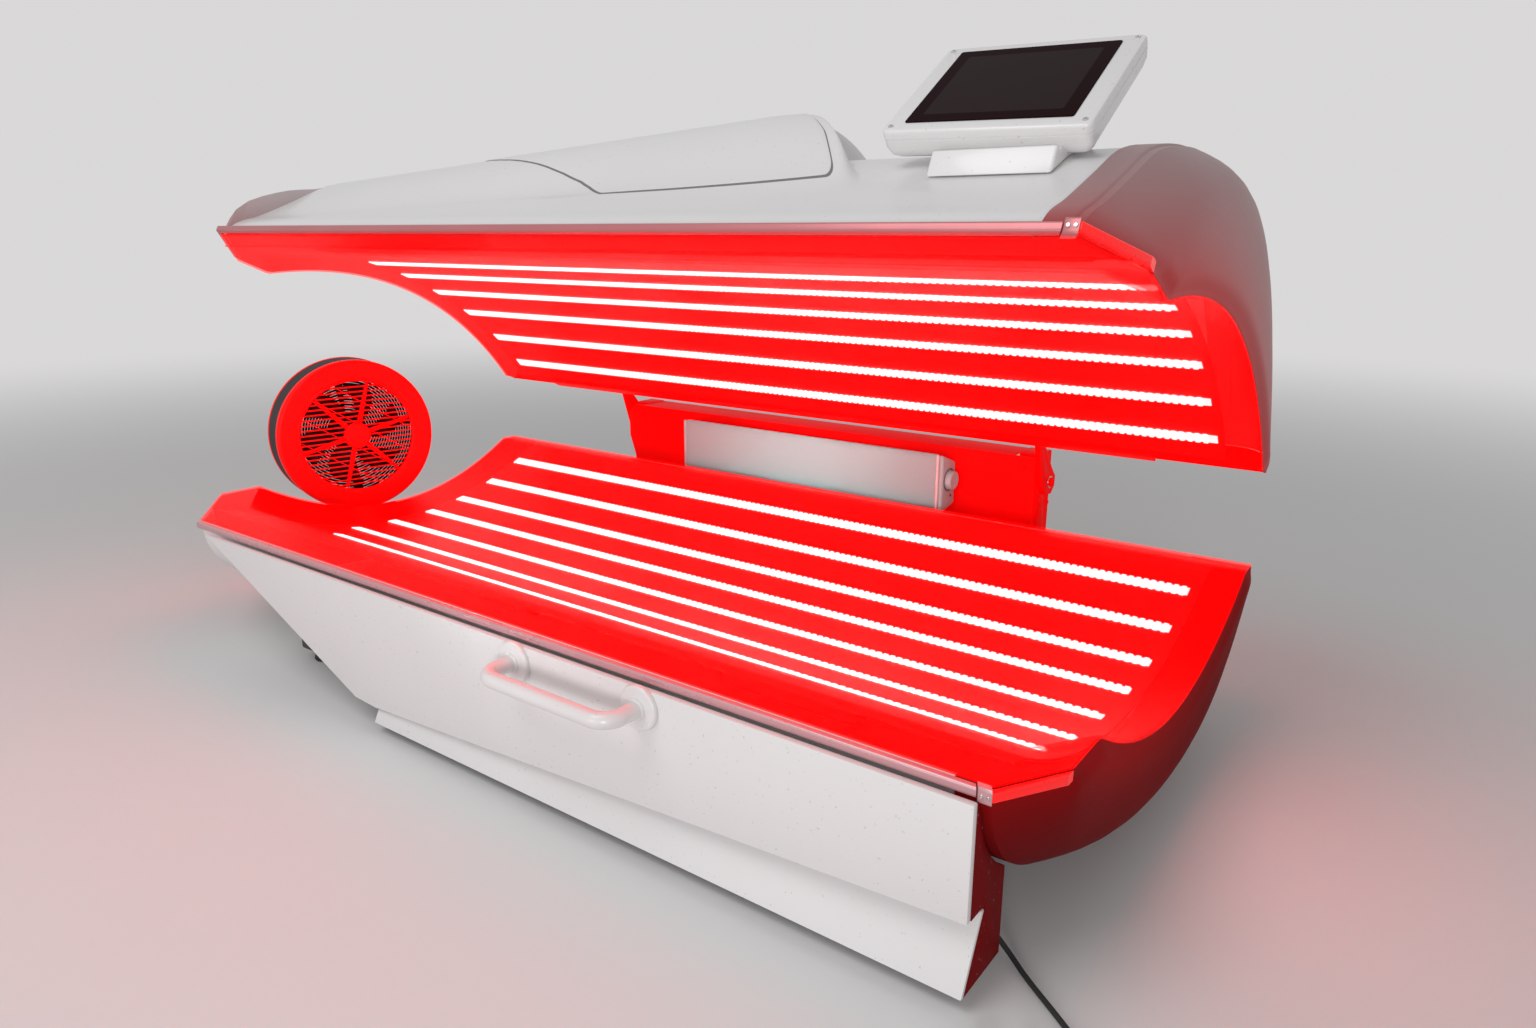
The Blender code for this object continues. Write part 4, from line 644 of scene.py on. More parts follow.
def makeCord(look):
    route = smoothRoute((look["mouth"], *look["route"]), look["steps"])
    last = route[-1] - route[-2]
    heading = Vector((last.x, last.y)).normalized()
    start = route[-1] + Vector((*heading, 0.0)) * gap
    line = [bedMatrix @ p for p in route[:-1] + coilLine(start, heading, look)]
    cord = tube("mainsCord", line, look["diameter"] / 2, 3)
    cord.data.materials.append(rubber)
    seat(cord, "bed", "cord_rubber", "mains_cord", "cord_coil")
    plug = cadPiece("mainsPlug", "mains_plug", 0.0008, darkPlasticAndShade, "bed", "dark_plastic")
    tie = cadPiece("cordTie", "cord_tie", 0.0003, darkPlasticAndShade, "bed", "dark_plastic")
    length = sum((b - a).length for a, b in zip(line, line[1:]))
    cadPiece("cordGland", "cord_gland", 0.0008, darkPlasticAndShade, "bed", "dark_plastic")
    print("cord is laid,", round(length, 3), "m")


makeCord(cordSet)


# Surfaces that the bed and the canopy share

def frontLine(out):
    # the front's outline seen from above, moved out by a distance
    path = [Vector(p) for p in bedSet["facets"]]
    runs = [(b - a).normalized() for a, b in zip(path, path[1:])]
    normals = [Vector((run.y, -run.x)) for run in runs]
    ahead = Vector((0.0, -1.0))
    leans = (ahead, normals[0] + normals[1], normals[1] + normals[2], ahead)
    spots = []
    for spot, lean, normal in zip(path, leans, (normals[0], *normals)):
        way = lean.normalized()
        spots.append(spot + way * (out / way.dot(normal)))
    return spots


sheetFront = frontLine(-bedSet["sheetInset"])


def frontAt(x):
    for a, b in zip(sheetFront, sheetFront[1:]):
        if x <= b.x:
            break
    return blend(a.y, b.y, (x - a.x) / (b.x - a.x))


def cradle(y):
    t = (y - bedSet["cradleMiddle"]) / bedSet["cradleHalf"]
    return bedSet["rim"] - bedSet["cradleSag"] * max(0.0, 1 - t * t)


def bedPlace(x, share):
    return blend(frontAt(x), bedSet["depth"], share)


def cradleShare(share):
    return cradle(bedPlace(0.0, share))


canopySet = {
    "rim": 0.427, "back": 1.104, "rail": 0.044, "archMiddle": 0.585, "archHalf": 0.475, "archSag": 0.117,
    "section": ((0.0, 0.0116), (0.02, 0.042), (0.06, 0.078), (0.13, 0.148), (0.20, 0.218), (0.30, 0.279),
                (0.40, 0.321), (0.52, 0.338), (0.66, 0.318), (0.80, 0.263), (0.94, 0.183), (1.04, 0.106),
                (1.104, 0.057)),
    "humpLeft": -1.0, "humpRise": 0.09, "humpEnd": 0.37, "humpDrop": 0.046, "humpSteep": (0.34, 0.44), "wall": 0.006,
    "slants": ((-1.02, 0.0), (-0.9, 0.0), (-0.45, 0.55), (0.355, 0.26), (0.42, 0.26), (1.02, 0.0)),
    "crease": ((-1.02, 0.030), (-0.86, 0.040), (-0.615, 0.060), (-0.39, 0.077), (-0.195, 0.097), (-0.015, 0.110),
               (0.105, 0.113), (0.62, 0.120), (1.02, 0.075)),
    # rows where the slant eases off, and where the hump rises and falls: each starts here and takes so long
    "slantRows": (0.11, 0.23), "humpFront": (0.10, 0.16), "humpBack": (0.60, 0.35),
    "scoop": 0.017, "scoopWide": 0.12, "scoopLeft": (-0.99, 0.30), "scoopRight": (-0.10, 0.35), "scoopLoss": 0.85,
    "shellLeft": -0.94, "shellRight": 1.02,
}


def along(table, value):
    # a straight run between the places of a table
    for (a, low), (b, high) in zip(table, table[1:]):
        if value <= b:
            break
    return blend(low, high, min(1.0, max(0.0, (value - a) / (b - a))))


def arch(y):
    t = (y - canopySet["archMiddle"]) / canopySet["archHalf"]
    return canopySet["rim"] + canopySet["archSag"] * max(0.0, 1 - t * t)


def canopyPlace(x, row):
    return blend(frontAt(x), canopySet["back"], row / canopySet["back"])


def archRow(row):
    return arch(canopyPlace(0.0, row))


def sectionHeight(row):
    points = canopySet["section"]
    last = len(points) - 1
    k = 0
    while k < last - 1 and row > points[k + 1][0]:
        k += 1

    def slope(n):
        a, b = points[max(n - 1, 0)], points[min(n + 1, last)]
        return (b[1] - a[1]) / (b[0] - a[0])

    (y0, z0), (y1, z1) = points[k], points[k + 1]
    wide = y1 - y0
    t = min(1.0, max(0.0, (row - y0) / wide))
    first = (2 * t ** 3 - 3 * t ** 2 + 1) * z0 + (t ** 3 - 2 * t ** 2 + t) * wide * slope(k)
    return first + (3 * t ** 2 - 2 * t ** 3) * z1 + (t ** 3 - t ** 2) * wide * slope(k + 1)


def easeFrom(value, rows):
    return ease((value - rows[0]) / rows[1])


def slanted(station, row):
    return station + along(canopySet["slants"], station) * (1 - easeFrom(row, canopySet["slantRows"]))


def hump(x, row):
    look = canopySet
    start, stop = look["humpLeft"], look["humpEnd"]
    rise = look["humpRise"] * min(1.0, max(0.0, (x - start) / (stop - start)))
    rise *= 1 - ease((x - slanted(stop, row)) / look["humpDrop"])
    return rise * easeFrom(row, look["humpFront"]) * (1 - easeFrom(row, look["humpBack"]))


def creaseRow(x):
    return along(canopySet["crease"], x)


def scoop(x, row):
    # the hollow just over the crease, deepest left of the access cover and a third of the way up
    look = canopySet
    t = (row - creaseRow(x)) / look["scoopWide"]
    if not 0.0 < t < 1.0:
        return 0.0
    strength = easeFrom(x, look["scoopLeft"]) * (1 - look["scoopLoss"] * easeFrom(x, look["scoopRight"]))
    return -look["scoop"] * strength * 27 / 4 * t * (1 - t) ** 2


def shellPoint(x, row, lift=0.0):
    z = canopySet["rim"] + sectionHeight(row) + hump(x, row) + scoop(x, row) + lift
    return Vector((x, canopyPlace(x, row), z))


# Canopy: shell, access cover and seam

def makeShell():
    look = canopySet
    # more stations stand at the hump's steep end
    stations = sorted({*spread(look["shellLeft"], look["shellRight"], 70), *spread(*look["humpSteep"], 22)})
    lines = [(0, s) for s in spread(0.0, 1.0, 12)] + [(1, s ** 1.35) for s in spread(0.0, 1.0, 62)[1:]]

    def point(station, line):
        foot = creaseRow(slanted(station, look["slantRows"][0]))
        part, share = line
        row = foot * share if part == 0 else blend(foot, look["back"], share)
        return shellPoint(slanted(station, row), row)

    shell = skin("canopyShell", stations, lines, point, (0, 0, 1), look["wall"], (0.0018, 60.0), 24.0, canopyMatrix)
    dress(shell, whiteShell, "canopy", "white_shell", "canopy_shell")


coverSet = {
    "left": ((0.10, 0.168), (0.120, 0.125), (0.140, 0.077), (0.155, 0.032), (0.173, -0.043), (0.189, -0.126),
             (0.206, -0.220), (0.229, -0.322), (0.250, -0.395), (0.29, -0.475), (0.35, -0.52)),
    "right": ((0.10, 0.665), (0.133, 0.617), (0.164, 0.574), (0.20, 0.522), (0.24, 0.454), (0.30, 0.372),
              (0.35, 0.345)),
    "foot": 0.1185, "footRise": 0.0185, "top": 0.34, "corner": 0.022, "proud": 0.0032, "sheet": 0.0028,
    "seam": 0.0035, "seamProud": 0.0008, "seamSheet": 0.0012, "footCurve": 1.5, "marginUp": 0.7, "marginLeft": 1.6,
    "cornerLeft": 0.2,
}


def coverPoint(across, up, margin, lift):
    look = coverSet
    rise = margin * look["marginUp"]
    low = look["foot"] + look["footRise"] * across ** look["footCurve"] - rise
    row = blend(low, look["top"] + rise, up)
    near = max(0.0, 1 - (row - low) / look["corner"])
    cut = look["corner"] * (1 - math.sqrt(max(0.0, 1 - near * near)))
    left = along(look["left"], row) - margin * look["marginLeft"] + cut * look["cornerLeft"]
    right = along(look["right"], row) + margin - cut
    return shellPoint(blend(left, right, across), row, lift)


def makeAccessCover():
    look = coverSet
    steps, ups = spread(0.0, 1.0, 56), [s ** 1.5 for s in spread(0.0, 1.0, 44)]
    cover = skin("accessCover", steps, ups, lambda a, b: coverPoint(a, b, 0.0, look["proud"]), (0, 0, 1),
                 look["sheet"], (0.0011, 50.0), 30.0, canopyMatrix)
    dress(cover, whiteShell, "canopy", "white_shell", "canopy_access_cover")
    seam = skin("accessSeam", steps, ups, lambda a, b: coverPoint(a, b, look["seam"], look["seamProud"]), (0, 0, 1),
                look["seamSheet"], None, None, canopyMatrix)
    dress(seam, seamAndShadeGrey, "canopy", "white_shell")


# End caps of the canopy and the bed

capSet = {
    "power": 2 / 4.6, "wall": 0.005, "lip": 0.036, "lipFade": 0.08, "canopyBulge": 0.012, "bedBulge": 0.022,
    "end": 1.135, "frontRows": (0.0, 0.02), "backRows": (0.95, 0.15), "bandStep": 0.003, "tuckIn": 0.004,
    "tuckUnder": 0.006, "plate": 0.003, "plateIn": 0.0015, "bedFade": 0.06,
    # how far the top of the left collar stands over the rim, by rows back from its front
    "collar": ((0.0, 0.012), (0.006, 0.048), (0.013, 0.071), (0.035, 0.103), (0.061, 0.127), (0.09, 0.150),
               (0.117, 0.169), (0.15, 0.188), (0.174, 0.200), (0.21, 0.224), (0.25, 0.250), (0.30, 0.279)),
}
leftCap = {"name": "Left", "side": -1, "start": 0.94, "band": 0.010, "lift": 0.003, "lipOut": 0.0, "fade": 0.10,
           "finish": collarGrey}
rightCap = {"name": "Right", "side": 1, "start": 1.02, "band": 0.038, "lift": 0.004, "lipOut": 0.010, "fade": 0.15,
            "finish": rightCapShadedGrey}


def capTurns(reach, band):
    # turns from the rim to the top, closer together where a raised band ends
    power = 1 / capSet["power"]
    marks = [(band + step) / reach for step in (-0.004, -0.001, 0.001, 0.003, 0.005)] if band else []
    outs = [0.0, 0.05, 0.12, *marks, 0.54, 0.64, 0.72, 0.80, 0.87]
    outs += [share for share in (0.20, 0.28, 0.36, 0.45) if all(abs(share - mark) > 0.03 for mark in marks)]
    ups = [0.0, 0.03, 0.06, 0.09, 0.12, 0.16, 0.20, 0.25, 0.31, 0.38, 0.46, 0.55, 0.64, 0.73, 0.81]
    return sorted([math.acos(out ** power) for out in outs] + [math.asin(up ** power) for up in ups])


def capTop(side, row):
    # the left cap's collar is rounder than the shell, and stands over it near the front
    high = sectionHeight(row)
    if side < 0 and row < capSet["collar"][-1][0]:
        high = max(high, along(capSet["collar"], row))
    return canopySet["rim"] + high


def makeCanopyCap(look):
    side, start, band = look["side"], look["start"], look["band"]
    back, power = canopySet["back"], capSet["power"]
    reach = capSet["end"] - start - gap
    rows = sorted({*(back * share for share in bowlShares(66)), *(row for row, high in capSet["collar"][1:7])})

    def point(turn, row):
        wall = turn is None
        angle = math.pi / 2 if wall else turn
        out = max(0.0, math.cos(angle)) ** power if angle < math.pi / 2 - 1e-6 else 0.0
        up = math.sin(angle) ** power
        x = side * (start + gap + reach * out)
        y = canopyPlace(x, row)
        rim = archRow(row) + bedSet["acrylic"] + gap
        top = capTop(side, row)
        z = blend(rim, top, up)
        roll = look["lipOut"] * ease((z - rim) / capSet["lip"]) * (1 - up) * ease((top - rim) / capSet["lipFade"])
        x += side * (capSet["canopyBulge"] * math.sin(2 * angle) * math.sin(math.pi * row / back) + roll)
        ends = easeFrom(row, capSet["frontRows"]) * (1 - easeFrom(row, capSet["backRows"]))
        z += look["lift"] * ends * (1 - ease((reach * out - band) / capSet["bandStep"]))
        if wall:
            x -= side * capSet["tuckIn"]
            y = canopyPlace(x, row)
            z = min(top, shellPoint(x, row)[2]) - capSet["tuckUnder"]
        return Vector((x, y, z))

    cap = gridSheet("canopyCap" + look["name"], capTurns(reach, band) + [None], rows, point)
    finishCap(cap, (side, 0, 0.3), canopyMatrix, lambda y, z: z - arch(y), look["fade"])
    dress(cap, look["finish"], "canopy", "grey_cap", "canopy_end_cap_" + look["name"].lower())


def makeBackPlates():
    # the caps are open behind, beside the rear rail: a plate closes each of them
    rail = [corner.x - bedShift.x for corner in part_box("canopy_rear_rail")]
    wall, power = capSet["wall"], capSet["power"]
    y, rim = canopySet["back"] - capSet["plateIn"], canopySet["rim"] + bedSet["acrylic"] + 2 * gap
    high = sectionHeight(canopySet["back"]) - bedSet["acrylic"] - wall
    plates = []
    for look, inner in ((leftCap, rail[0] - gap), (rightCap, rail[1] + gap)):
        start, side = look["start"] - wall, look["side"]
        reach = capSet["end"] - wall - start
        line = [(side * (start + reach * math.cos(a) ** power), rim + high * math.sin(a) ** power)
                for a in spread(0.0, math.pi / 2, 11)]
        line = [(inner, rim), *line, (inner, rim + high)]
        plate = loft("backPlate", [[(x, depth, z) for x, z in line] for depth in (y - capSet["plate"], y)])
        soften(plate, 0.0006, 1, 60.0)
        plates.append(plate)
    closed = placed(joined("canopyBackPlates", plates), 32.0, canopyMatrix)
    dress(closed, columnRedLit, "canopy", "column_paint")


def finishCap(cap, outwards, matrix, offSheet, fade):
    # the moulding is thin near the lit sheet, so some light comes through: strongest at the rim. This mask paints
    # that red light, and shade, into the cap's colour and glow
    turnTo(cap, outwards)
    thicken(cap, capSet["wall"])
    soften(cap, 0.0012, 2, 55.0)
    smooth(cap, 26.0)
    markPoints(cap, "litEdge", [math.exp(-max(0.0, offSheet(corner.co.y, corner.co.z)) / fade)
                                for corner in cap.data.vertices])
    cap.data.transform(matrix)


tubSet = {"top": 0.3197, "depth": 0.2444, "round": 2.4, "wall": 0.006, "evenFrom": -0.8}


def tubPoint(x, share):
    sag = (1 - abs(2 * share - 1) ** tubSet["round"]) ** (1 / tubSet["round"])
    return Vector((x, bedPlace(x, share), tubSet["top"] - tubSet["depth"] * sag))


def bowlShares(count):
    return [0.5 - 0.5 * math.cos(math.pi * s) for s in spread(0.0, 1.0, count)]


def makeBedCap(cap):
    look, side, half = capSet, cap["side"], bedSet["tubHalf"]
    reach = look["end"] - half - gap

    def point(turn, share):
        out = math.cos(turn) ** look["power"] if turn < math.pi / 2 - 1e-6 else 0.0
        down = math.sin(turn) ** look["power"]
        x = side * (half + gap + reach * out)
        y = bedPlace(x, share)
        rim = cradleShare(share) - bedSet["acrylic"] - gap
        floor = tubPoint(x, share)[2]
        z = blend(rim, floor, down)
        roll = cap["lipOut"] * ease((rim - z) / look["lip"]) * (1 - down) * ease((rim - floor) / look["lipFade"])
        x += side * (look["bedBulge"] * math.sin(2 * turn) * math.sin(math.pi * share) + roll)
        return Vector((x, y, z))

    made = gridSheet("bedCap" + cap["name"], capTurns(reach, 0.0), bowlShares(64), point)
    finishCap(made, (side, 0, -0.3), bedMatrix, lambda y, z: cradle(y) - z, look["bedFade"])
    dress(made, bedCapShadedRed, "bed", "grey_cap", "bed_end_cap_" + cap["name"].lower())


def makeTub():
    stations = [-bedSet["tubHalf"], sheetFront[1].x, *spread(tubSet["evenFrom"], bedSet["tubHalf"], 8)]
    tub = skin("bedTub", stations, bowlShares(60), tubPoint, (0, 0, -1), tubSet["wall"], None, 30.0, bedMatrix)
    dress(tub, whitePanel, "bed", "white_shell", "bed_tub")


# Lit sheets, trays and lamp strips

sheetEdge = (0.0012, 60.0)
cradleRows = (0.1046, 0.955)
traySet = {"bedLeft": -1.01, "canopyLeft": -1.06, "right": 1.065, "front": 0.09, "drop": 0.011, "sheet": 0.003,
           "flange": 0.02}
stripSet = {
    "wide": 0.0275, "boardWide": 0.0215, "thick": 0.0016, "chipLong": 0.0082,
    "chipHigh": 0.0022, "chipTaper": 0.93, "pitch": 0.0152,
    # each strip's place across its sheet and its two ends
    "bed": ((0.285, -0.82, 1.037), (0.415, -0.955, 1.037), (0.550, -0.994, 1.037), (0.674, -0.994, 1.043),
            (0.783, -0.994, 1.045), (0.897, -0.994, 1.046), (1.008, -0.994, 1.046)),
    "canopy": ((0.457, -1.045, 1.041), (0.559, -1.045, 1.045), (0.670, -1.045, 1.048), (0.783, -1.038, 1.049),
               (0.903, -1.030, 1.050), (1.013, -1.030, 1.052)),
}


def sheetStations():
    a, b, c, d = (spot.x for spot in sheetFront)
    return [*spread(a, b, 4), *spread(b, c, 12)[1:], *spread(c, d, 4)[1:]]


def makeBedSheet():
    # two more rows stand where the cradle starts and ends
    shares = sorted({*spread(0.0, 1.0, 64), *cradleRows})
    sheet = skin("bedAcrylic", sheetStations(), shares,
                 lambda x, share: Vector((x, bedPlace(x, share), cradleShare(share))), (0, 0, 1),
                 bedSet["acrylic"], sheetEdge, 20.0, bedMatrix)
    dress(sheet, redAcrylic, "bed", "red_acrylic", "bed_acrylic")


def makeCanopySheet():
    whole, front = canopySet["back"], frontAt(0.0)
    last = (whole - canopySet["rail"] - gap - front) / (whole - front) * whole
    sheet = skin("canopyAcrylic", sheetStations(), spread(0.0, last, 64),
                 lambda x, row: Vector((x, canopyPlace(x, row), archRow(row))), (0, 0, -1),
                 bedSet["acrylic"], sheetEdge, 20.0, canopyMatrix)
    dress(sheet, redAcrylic, "canopy", "red_acrylic", "canopy_acrylic")


def trayDrop(y, back):
    edge = min(y - traySet["front"], back - y)
    return traySet["drop"] * ease(edge / traySet["flange"])


bedTrayBack = bedSet["depth"] - 2 * tubSet["wall"]
canopyTrayBack = canopySet["back"] - canopySet["rail"] - gap - tubSet["wall"]


def bedTrayHeight(y):
    return cradle(y) - bedSet["acrylic"] - gap - trayDrop(y, bedTrayBack)


def canopyTrayHeight(y):
    return arch(y) + bedSet["acrylic"] + 6 * gap + trayDrop(y, canopyTrayBack)


def makeTray(name, node, body, left, back, height, facing, matrix):
    front = traySet["front"]
    rows = sorted({*spread(front, back, 56), *spread(front, front + traySet["flange"], 8)})
    tray = skin(name, spread(left, traySet["right"], 5), rows, lambda x, y: Vector((x, y, height(y))),
                (0, 0, facing), traySet["sheet"], None, 30.0, matrix)
    dress(tray, trayGlow, body, "tray_alloy", node)


def makeStrip(name, length):
    # one strip at the origin: a board with the same lamp chip set across it again and again
    look = stripSet
    wide, foot = look["wide"] / 2, look["thick"] * 0.4
    board = block(name, (0.0, -look["boardWide"] / 2, 0.0), (length, look["boardWide"] / 2, look["thick"]))
    board.data.materials.append(lampBoard)
    start = (look["pitch"] - look["chipLong"]) / 2
    chip = block(name + "Chip", (start, -wide, foot), (start + look["chipLong"], wide, foot + look["chipHigh"]))
    for corner in chip.data.vertices:
        if corner.co.z > look["thick"]:
            corner.co.y *= look["chipTaper"]
    repeat(chip, int(length / look["pitch"]), (look["pitch"], 0.0, 0.0))
    chip.data.materials.append(lampChip)
    return joined(name, [board, chip])


def makeStrips(name, node, body, places, height, facing, matrix):
    strips = []
    for k, (y, left, right) in enumerate(places):
        turn = Matrix.Rotation(math.atan2(height(y + 0.01) - height(y - 0.01), 0.02), 4, "X")
        if facing < 0:
            turn = turn @ Matrix.Diagonal((1.0, -1.0, -1.0, 1.0))
        strip = makeStrip(f"{name}{k}", right - left)
        strip.data.transform(matrix @ Matrix.Translation((left, y, height(y) + facing * gap)) @ turn)
        strips.append(strip)
    seat(joined(name, strips), body, "lamp_strip", node)


# Front trims: a long bar, a joint cover near its right end and a short run round the right facet

trimSet = {"inside": -0.014, "face": -0.004, "high": 0.015, "round": 0.0042, "joint": 1.0565, "jointGap": 0.0018,
           "jointEnd": 1.0775, "bed": 0.304, "canopy": 0.433, "cornerBelow": 0.004, "cornerHigh": 0.023,
           "cornerProud": 0.0022, "screws": (1.0625, 1.0715), "screw": 0.0028,
           "longStations": (0, 0.9, 1, 1.1, 1.5), "cornerStations": (1.99, 2, 2.2, 3)}


def trimProfile(face, low, high):
    corner, inside = trimSet["round"], trimSet["inside"]
    return [(inside, low), *arc((face - corner, low + corner), corner, -90, 0, 7),
            *arc((face - corner, high - corner), corner, 0, 90, 7), (inside, high)]


def trimRings(profile, stations):
    # stations 0 to 3 are the corners of the front line, and other numbers lie between them
    rings = []
    for station in stations:
        k = min(2, int(station))
        ring = []
        for out, z in profile:
            line = frontLine(out)
            spot = line[k].lerp(line[k + 1], station - k)
            ring.append((spot.x, spot.y, z))
        rings.append(ring)
    return rings


def makeTrim(name, node, body, low, finish, matrix):
    look = trimSet
    line = frontLine(0.0)
    run = line[2].x - line[1].x
    split, end = (1 + (look[mark] - line[1].x) / run for mark in ("joint", "jointEnd"))
    step = look["jointGap"] / run
    foot = low - look["cornerBelow"]
    face = look["face"] + look["cornerProud"]
    plain = trimProfile(look["face"], low, low + look["high"])
    swollen = trimProfile(face, foot, foot + look["cornerHigh"])
    long = loft(name, trimRings(plain, [*look["longStations"], split]))
    joint = loft(name + "Joint", trimRings(swollen, [split + step, end]))
    corner = loft(name + "Corner", trimRings(plain, [end + step, *look["cornerStations"]]))
    for piece in (long, joint, corner):
        soften(piece, 0.0006, 1, 60.0)
        placed(piece, 35.0, matrix)
    dress(long, finish, body, "trim_alloy", node)
    dress(joint, finish, body, "trim_alloy")
    dress(corner, trimLit, body, "trim_alloy")
    middle = foot + look["cornerHigh"] * 0.5
    seats = [seatAt((x, -face, middle), (0, -1, 0), matrix) for x in look["screws"]]
    screwSet(name + "Screws", look["screw"], seats, brightSteel, body, "trim_alloy")


# Base, skirt and handle

def makeBase():
    for name, node, width, finish, slot in (
            ("baseFrame", "base_frame", 0.004, steelPaint, "frame_steel"),
            ("frontSkirt", "front_skirt", 0.003, whitePanel, "white_shell"),
            ("kickPanel", "kick_panel", 0.002, whitePanel, "white_shell"),
            ("skirtReturnLeft", "skirt_return_left", 0.002, whitePanel, "white_shell"),
            ("skirtReturnRight", "skirt_return_right", 0.002, returnShadedRed, "white_shell"),
            ("powerSupply", "power_supply", 0.003, darkPlasticAndShade, "dark_plastic"),
            ("controlUnit", "control_unit", 0.003, darkPlasticAndShade, "dark_plastic")):
        cadPiece(name, node, width, finish, "bed", slot)
    for row in ("Front", "Rear"):
        cadPair("foot" + row, "foot_" + row.lower(), 0.0015, rubber, "bed", "foot_rubber", 25.0)


handleSet = {"x": 0.3585, "z": 0.2725, "span": 0.29, "radius": 0.014, "face": -0.0123, "reach": 0.072,
             "bend": 0.032, "flange": 0.0375, "thick": 0.008, "collar": 0.0185, "collarHigh": 0.0048,
             # the collar's hollow, out from its radius and up from the flange
             "hollow": ((0.003, 0.0), (0.0, 0.0008), (-0.001, 0.004))}


def makeHandle(look):
    left, right = look["x"] - look["span"] / 2, look["x"] + look["span"] / 2
    bend, r, t = look["bend"], look["flange"], look["thick"]
    seatY, bendY = look["face"] - t * 0.6, look["face"] - look["reach"] + bend
    path = [(left, seatY), *arc((left + bend, bendY), bend, 180, 270, 13),
            *arc((right - bend, bendY), bend, 270, 360, 13), (right, seatY)]
    grip = tube("handleBar", [(x, y, look["z"]) for x, y in path], look["radius"], 7)
    take(grip)
    bpy.ops.object.convert(target="MESH")
    grip = bpy.context.object
    edited(grip, mergeSeams, faceOut)
    dress(placed(grip, 40.0, bedMatrix), whiteShell, "bed", "white_shell", "handle_bar")
    top = t + look["collarHigh"]
    profile = [(0.0, 0.0), (r, 0.0), *arc((r - t * 0.55, t * 0.45), t * 0.55, 0, 90, 6),
               *((look["collar"] + out, t + up) for out, up in look["hollow"]), (look["radius"], top), (0.0, top)]
    for side, x in (("Left", left), ("Right", right)):
        flange = lathe("handleFlange" + side, profile, 48, seatAt((x, look["face"], look["z"]), (0, -1, 0)), 40.0)
        dress(flange, whiteShell, "bed", "white_shell", "handle_flange_" + side.lower())


# Column, hinge, struts

columnSet = {
    "plateFaces": (1.2318, 1.2358),
    "plate": ((-0.672, 0.10), (-0.688, 0.299), (-0.7095, 0.360), (-0.7095, 0.4337), (-0.682, 0.4585),
              (0.6205, 0.4585), (0.6205, 0.10)),
    # the arms' feet are cut back from one corner to another, in (y, z), out to a small reach
    "armFoot": (1.104, 0.427), "armCut": (1.160, 0.468), "armReach": 0.004,
    "bolt": 0.012, "bolts": (((0.6346, 1.30, 0.388), (1, 0, 0)), ((-0.7246, 1.30, 0.388), (-1, 0, 0))),
    "screw": 0.0055, "screws": (((-0.655, 1.2318, 0.432), (0, -1, 0)), ((0.595, 1.2318, 0.432), (0, -1, 0)),
                                ((0.62, 1.275, 0.335), (1, 0, 0)), ((0.62, 1.275, 0.312), (1, 0, 0)),
                                ((0.62, 1.325, 0.330), (1, 0, 0))),
}


def makeColumn(look):
    cadPair("hingePost", "hinge_post", 0.002, columnRedLit, "bed", "column_paint")
    cadPiece("hingeShaft", "hinge_shaft", 0.001, brightSteel, "canopy", "frame_steel")
    cadPiece("canopyRearRail", "canopy_rear_rail", 0.002, columnRedLit, "canopy", "column_paint")
    cadPair("strutCylinder", "strut_cylinder", 0.0008, steelPaint, None, "frame_steel")
    cadPair("strutRod", "strut_rod", 0.0004, brightSteel, None, "frame_steel")
    # the front plate covers both posts; its left edge leans and has a cut corner
    plate = loft("columnPlate", [[(x, y, z) for x, z in look["plate"]] for y in look["plateFaces"]])
    soften(plate, 0.0012, 2)
    plate.data.transform(bedMatrix)
    cover = joined("columnCover", [plate, cadCopy("columnCoverTop", "column_cover", 0.001)])
    smooth(cover)
    dress(cover, columnRedLit, "bed", "column_paint", "column_cover")
    foot = canopyMatrix @ Vector((0.0, *look["armFoot"]))
    cut = canopyMatrix @ Vector((0.0, *look["armCut"])) - foot
    for side in ("Left", "Right"):
        node = "hinge_arm_" + side.lower()
        arm = cadCopy("hingeArm" + side, node)
        for corner in arm.data.vertices:
            if math.hypot(corner.co.y - foot.y, corner.co.z - foot.z) < look["armReach"]:
                corner.co += cut
        soften(arm, 0.002, 2)
        smooth(arm)
        dress(arm, columnRedLit, "canopy", "column_paint", node)
    for name, kind, body in (("hingeBolts", "bolt", "canopy"), ("coverScrews", "screw", "bed")):
        screwSet(name, look[kind], [seatAt(*spot) for spot in look[kind + "s"]], columnRedLit, body, "column_paint")


# Soundbar on the column

barSet = {"left": -0.413, "right": 0.402, "front": 1.160, "back": 1.2317, "low": 0.301, "high": 0.449,
          "cloth": 0.012, "dropTop": 0.026, "riseFoot": 0.014, "cap": 0.012, "capBack": 0.001, "round": 0.007,
          "band": 0.006, "bandProud": 0.0008, "knob": (0.4146, 1.19585, 0.3824), "knobRadius": 0.024,
          "knobLong": 0.016, "knobRidges": 72, "knobRidge": 0.018, "sink": 0.0002, "jack": (0.012, -0.042),
          # profiles: the rim out from the knob, the knob in shares of its radius and length, and the jack
          "rim": ((0.001, 0.0), (0.0055, 0.0), (0.005, 0.0014), (0.0015, 0.0014)),
          "knobProfile": ((0.0, 0.0), (0.99, 0.0), (0.99, 0.72), (0.96, 0.88), (0.86, 1.0), (0.62, 1.0), (0.56, 0.9),
                          (0.0, 0.86)),
          "jackProfile": ((0.0, -0.001), (0.0022, -0.001), (0.0026, 0.0006), (0.0036, 0.0006), (0.0036, 0.0),
                          (0.0, 0.0))}


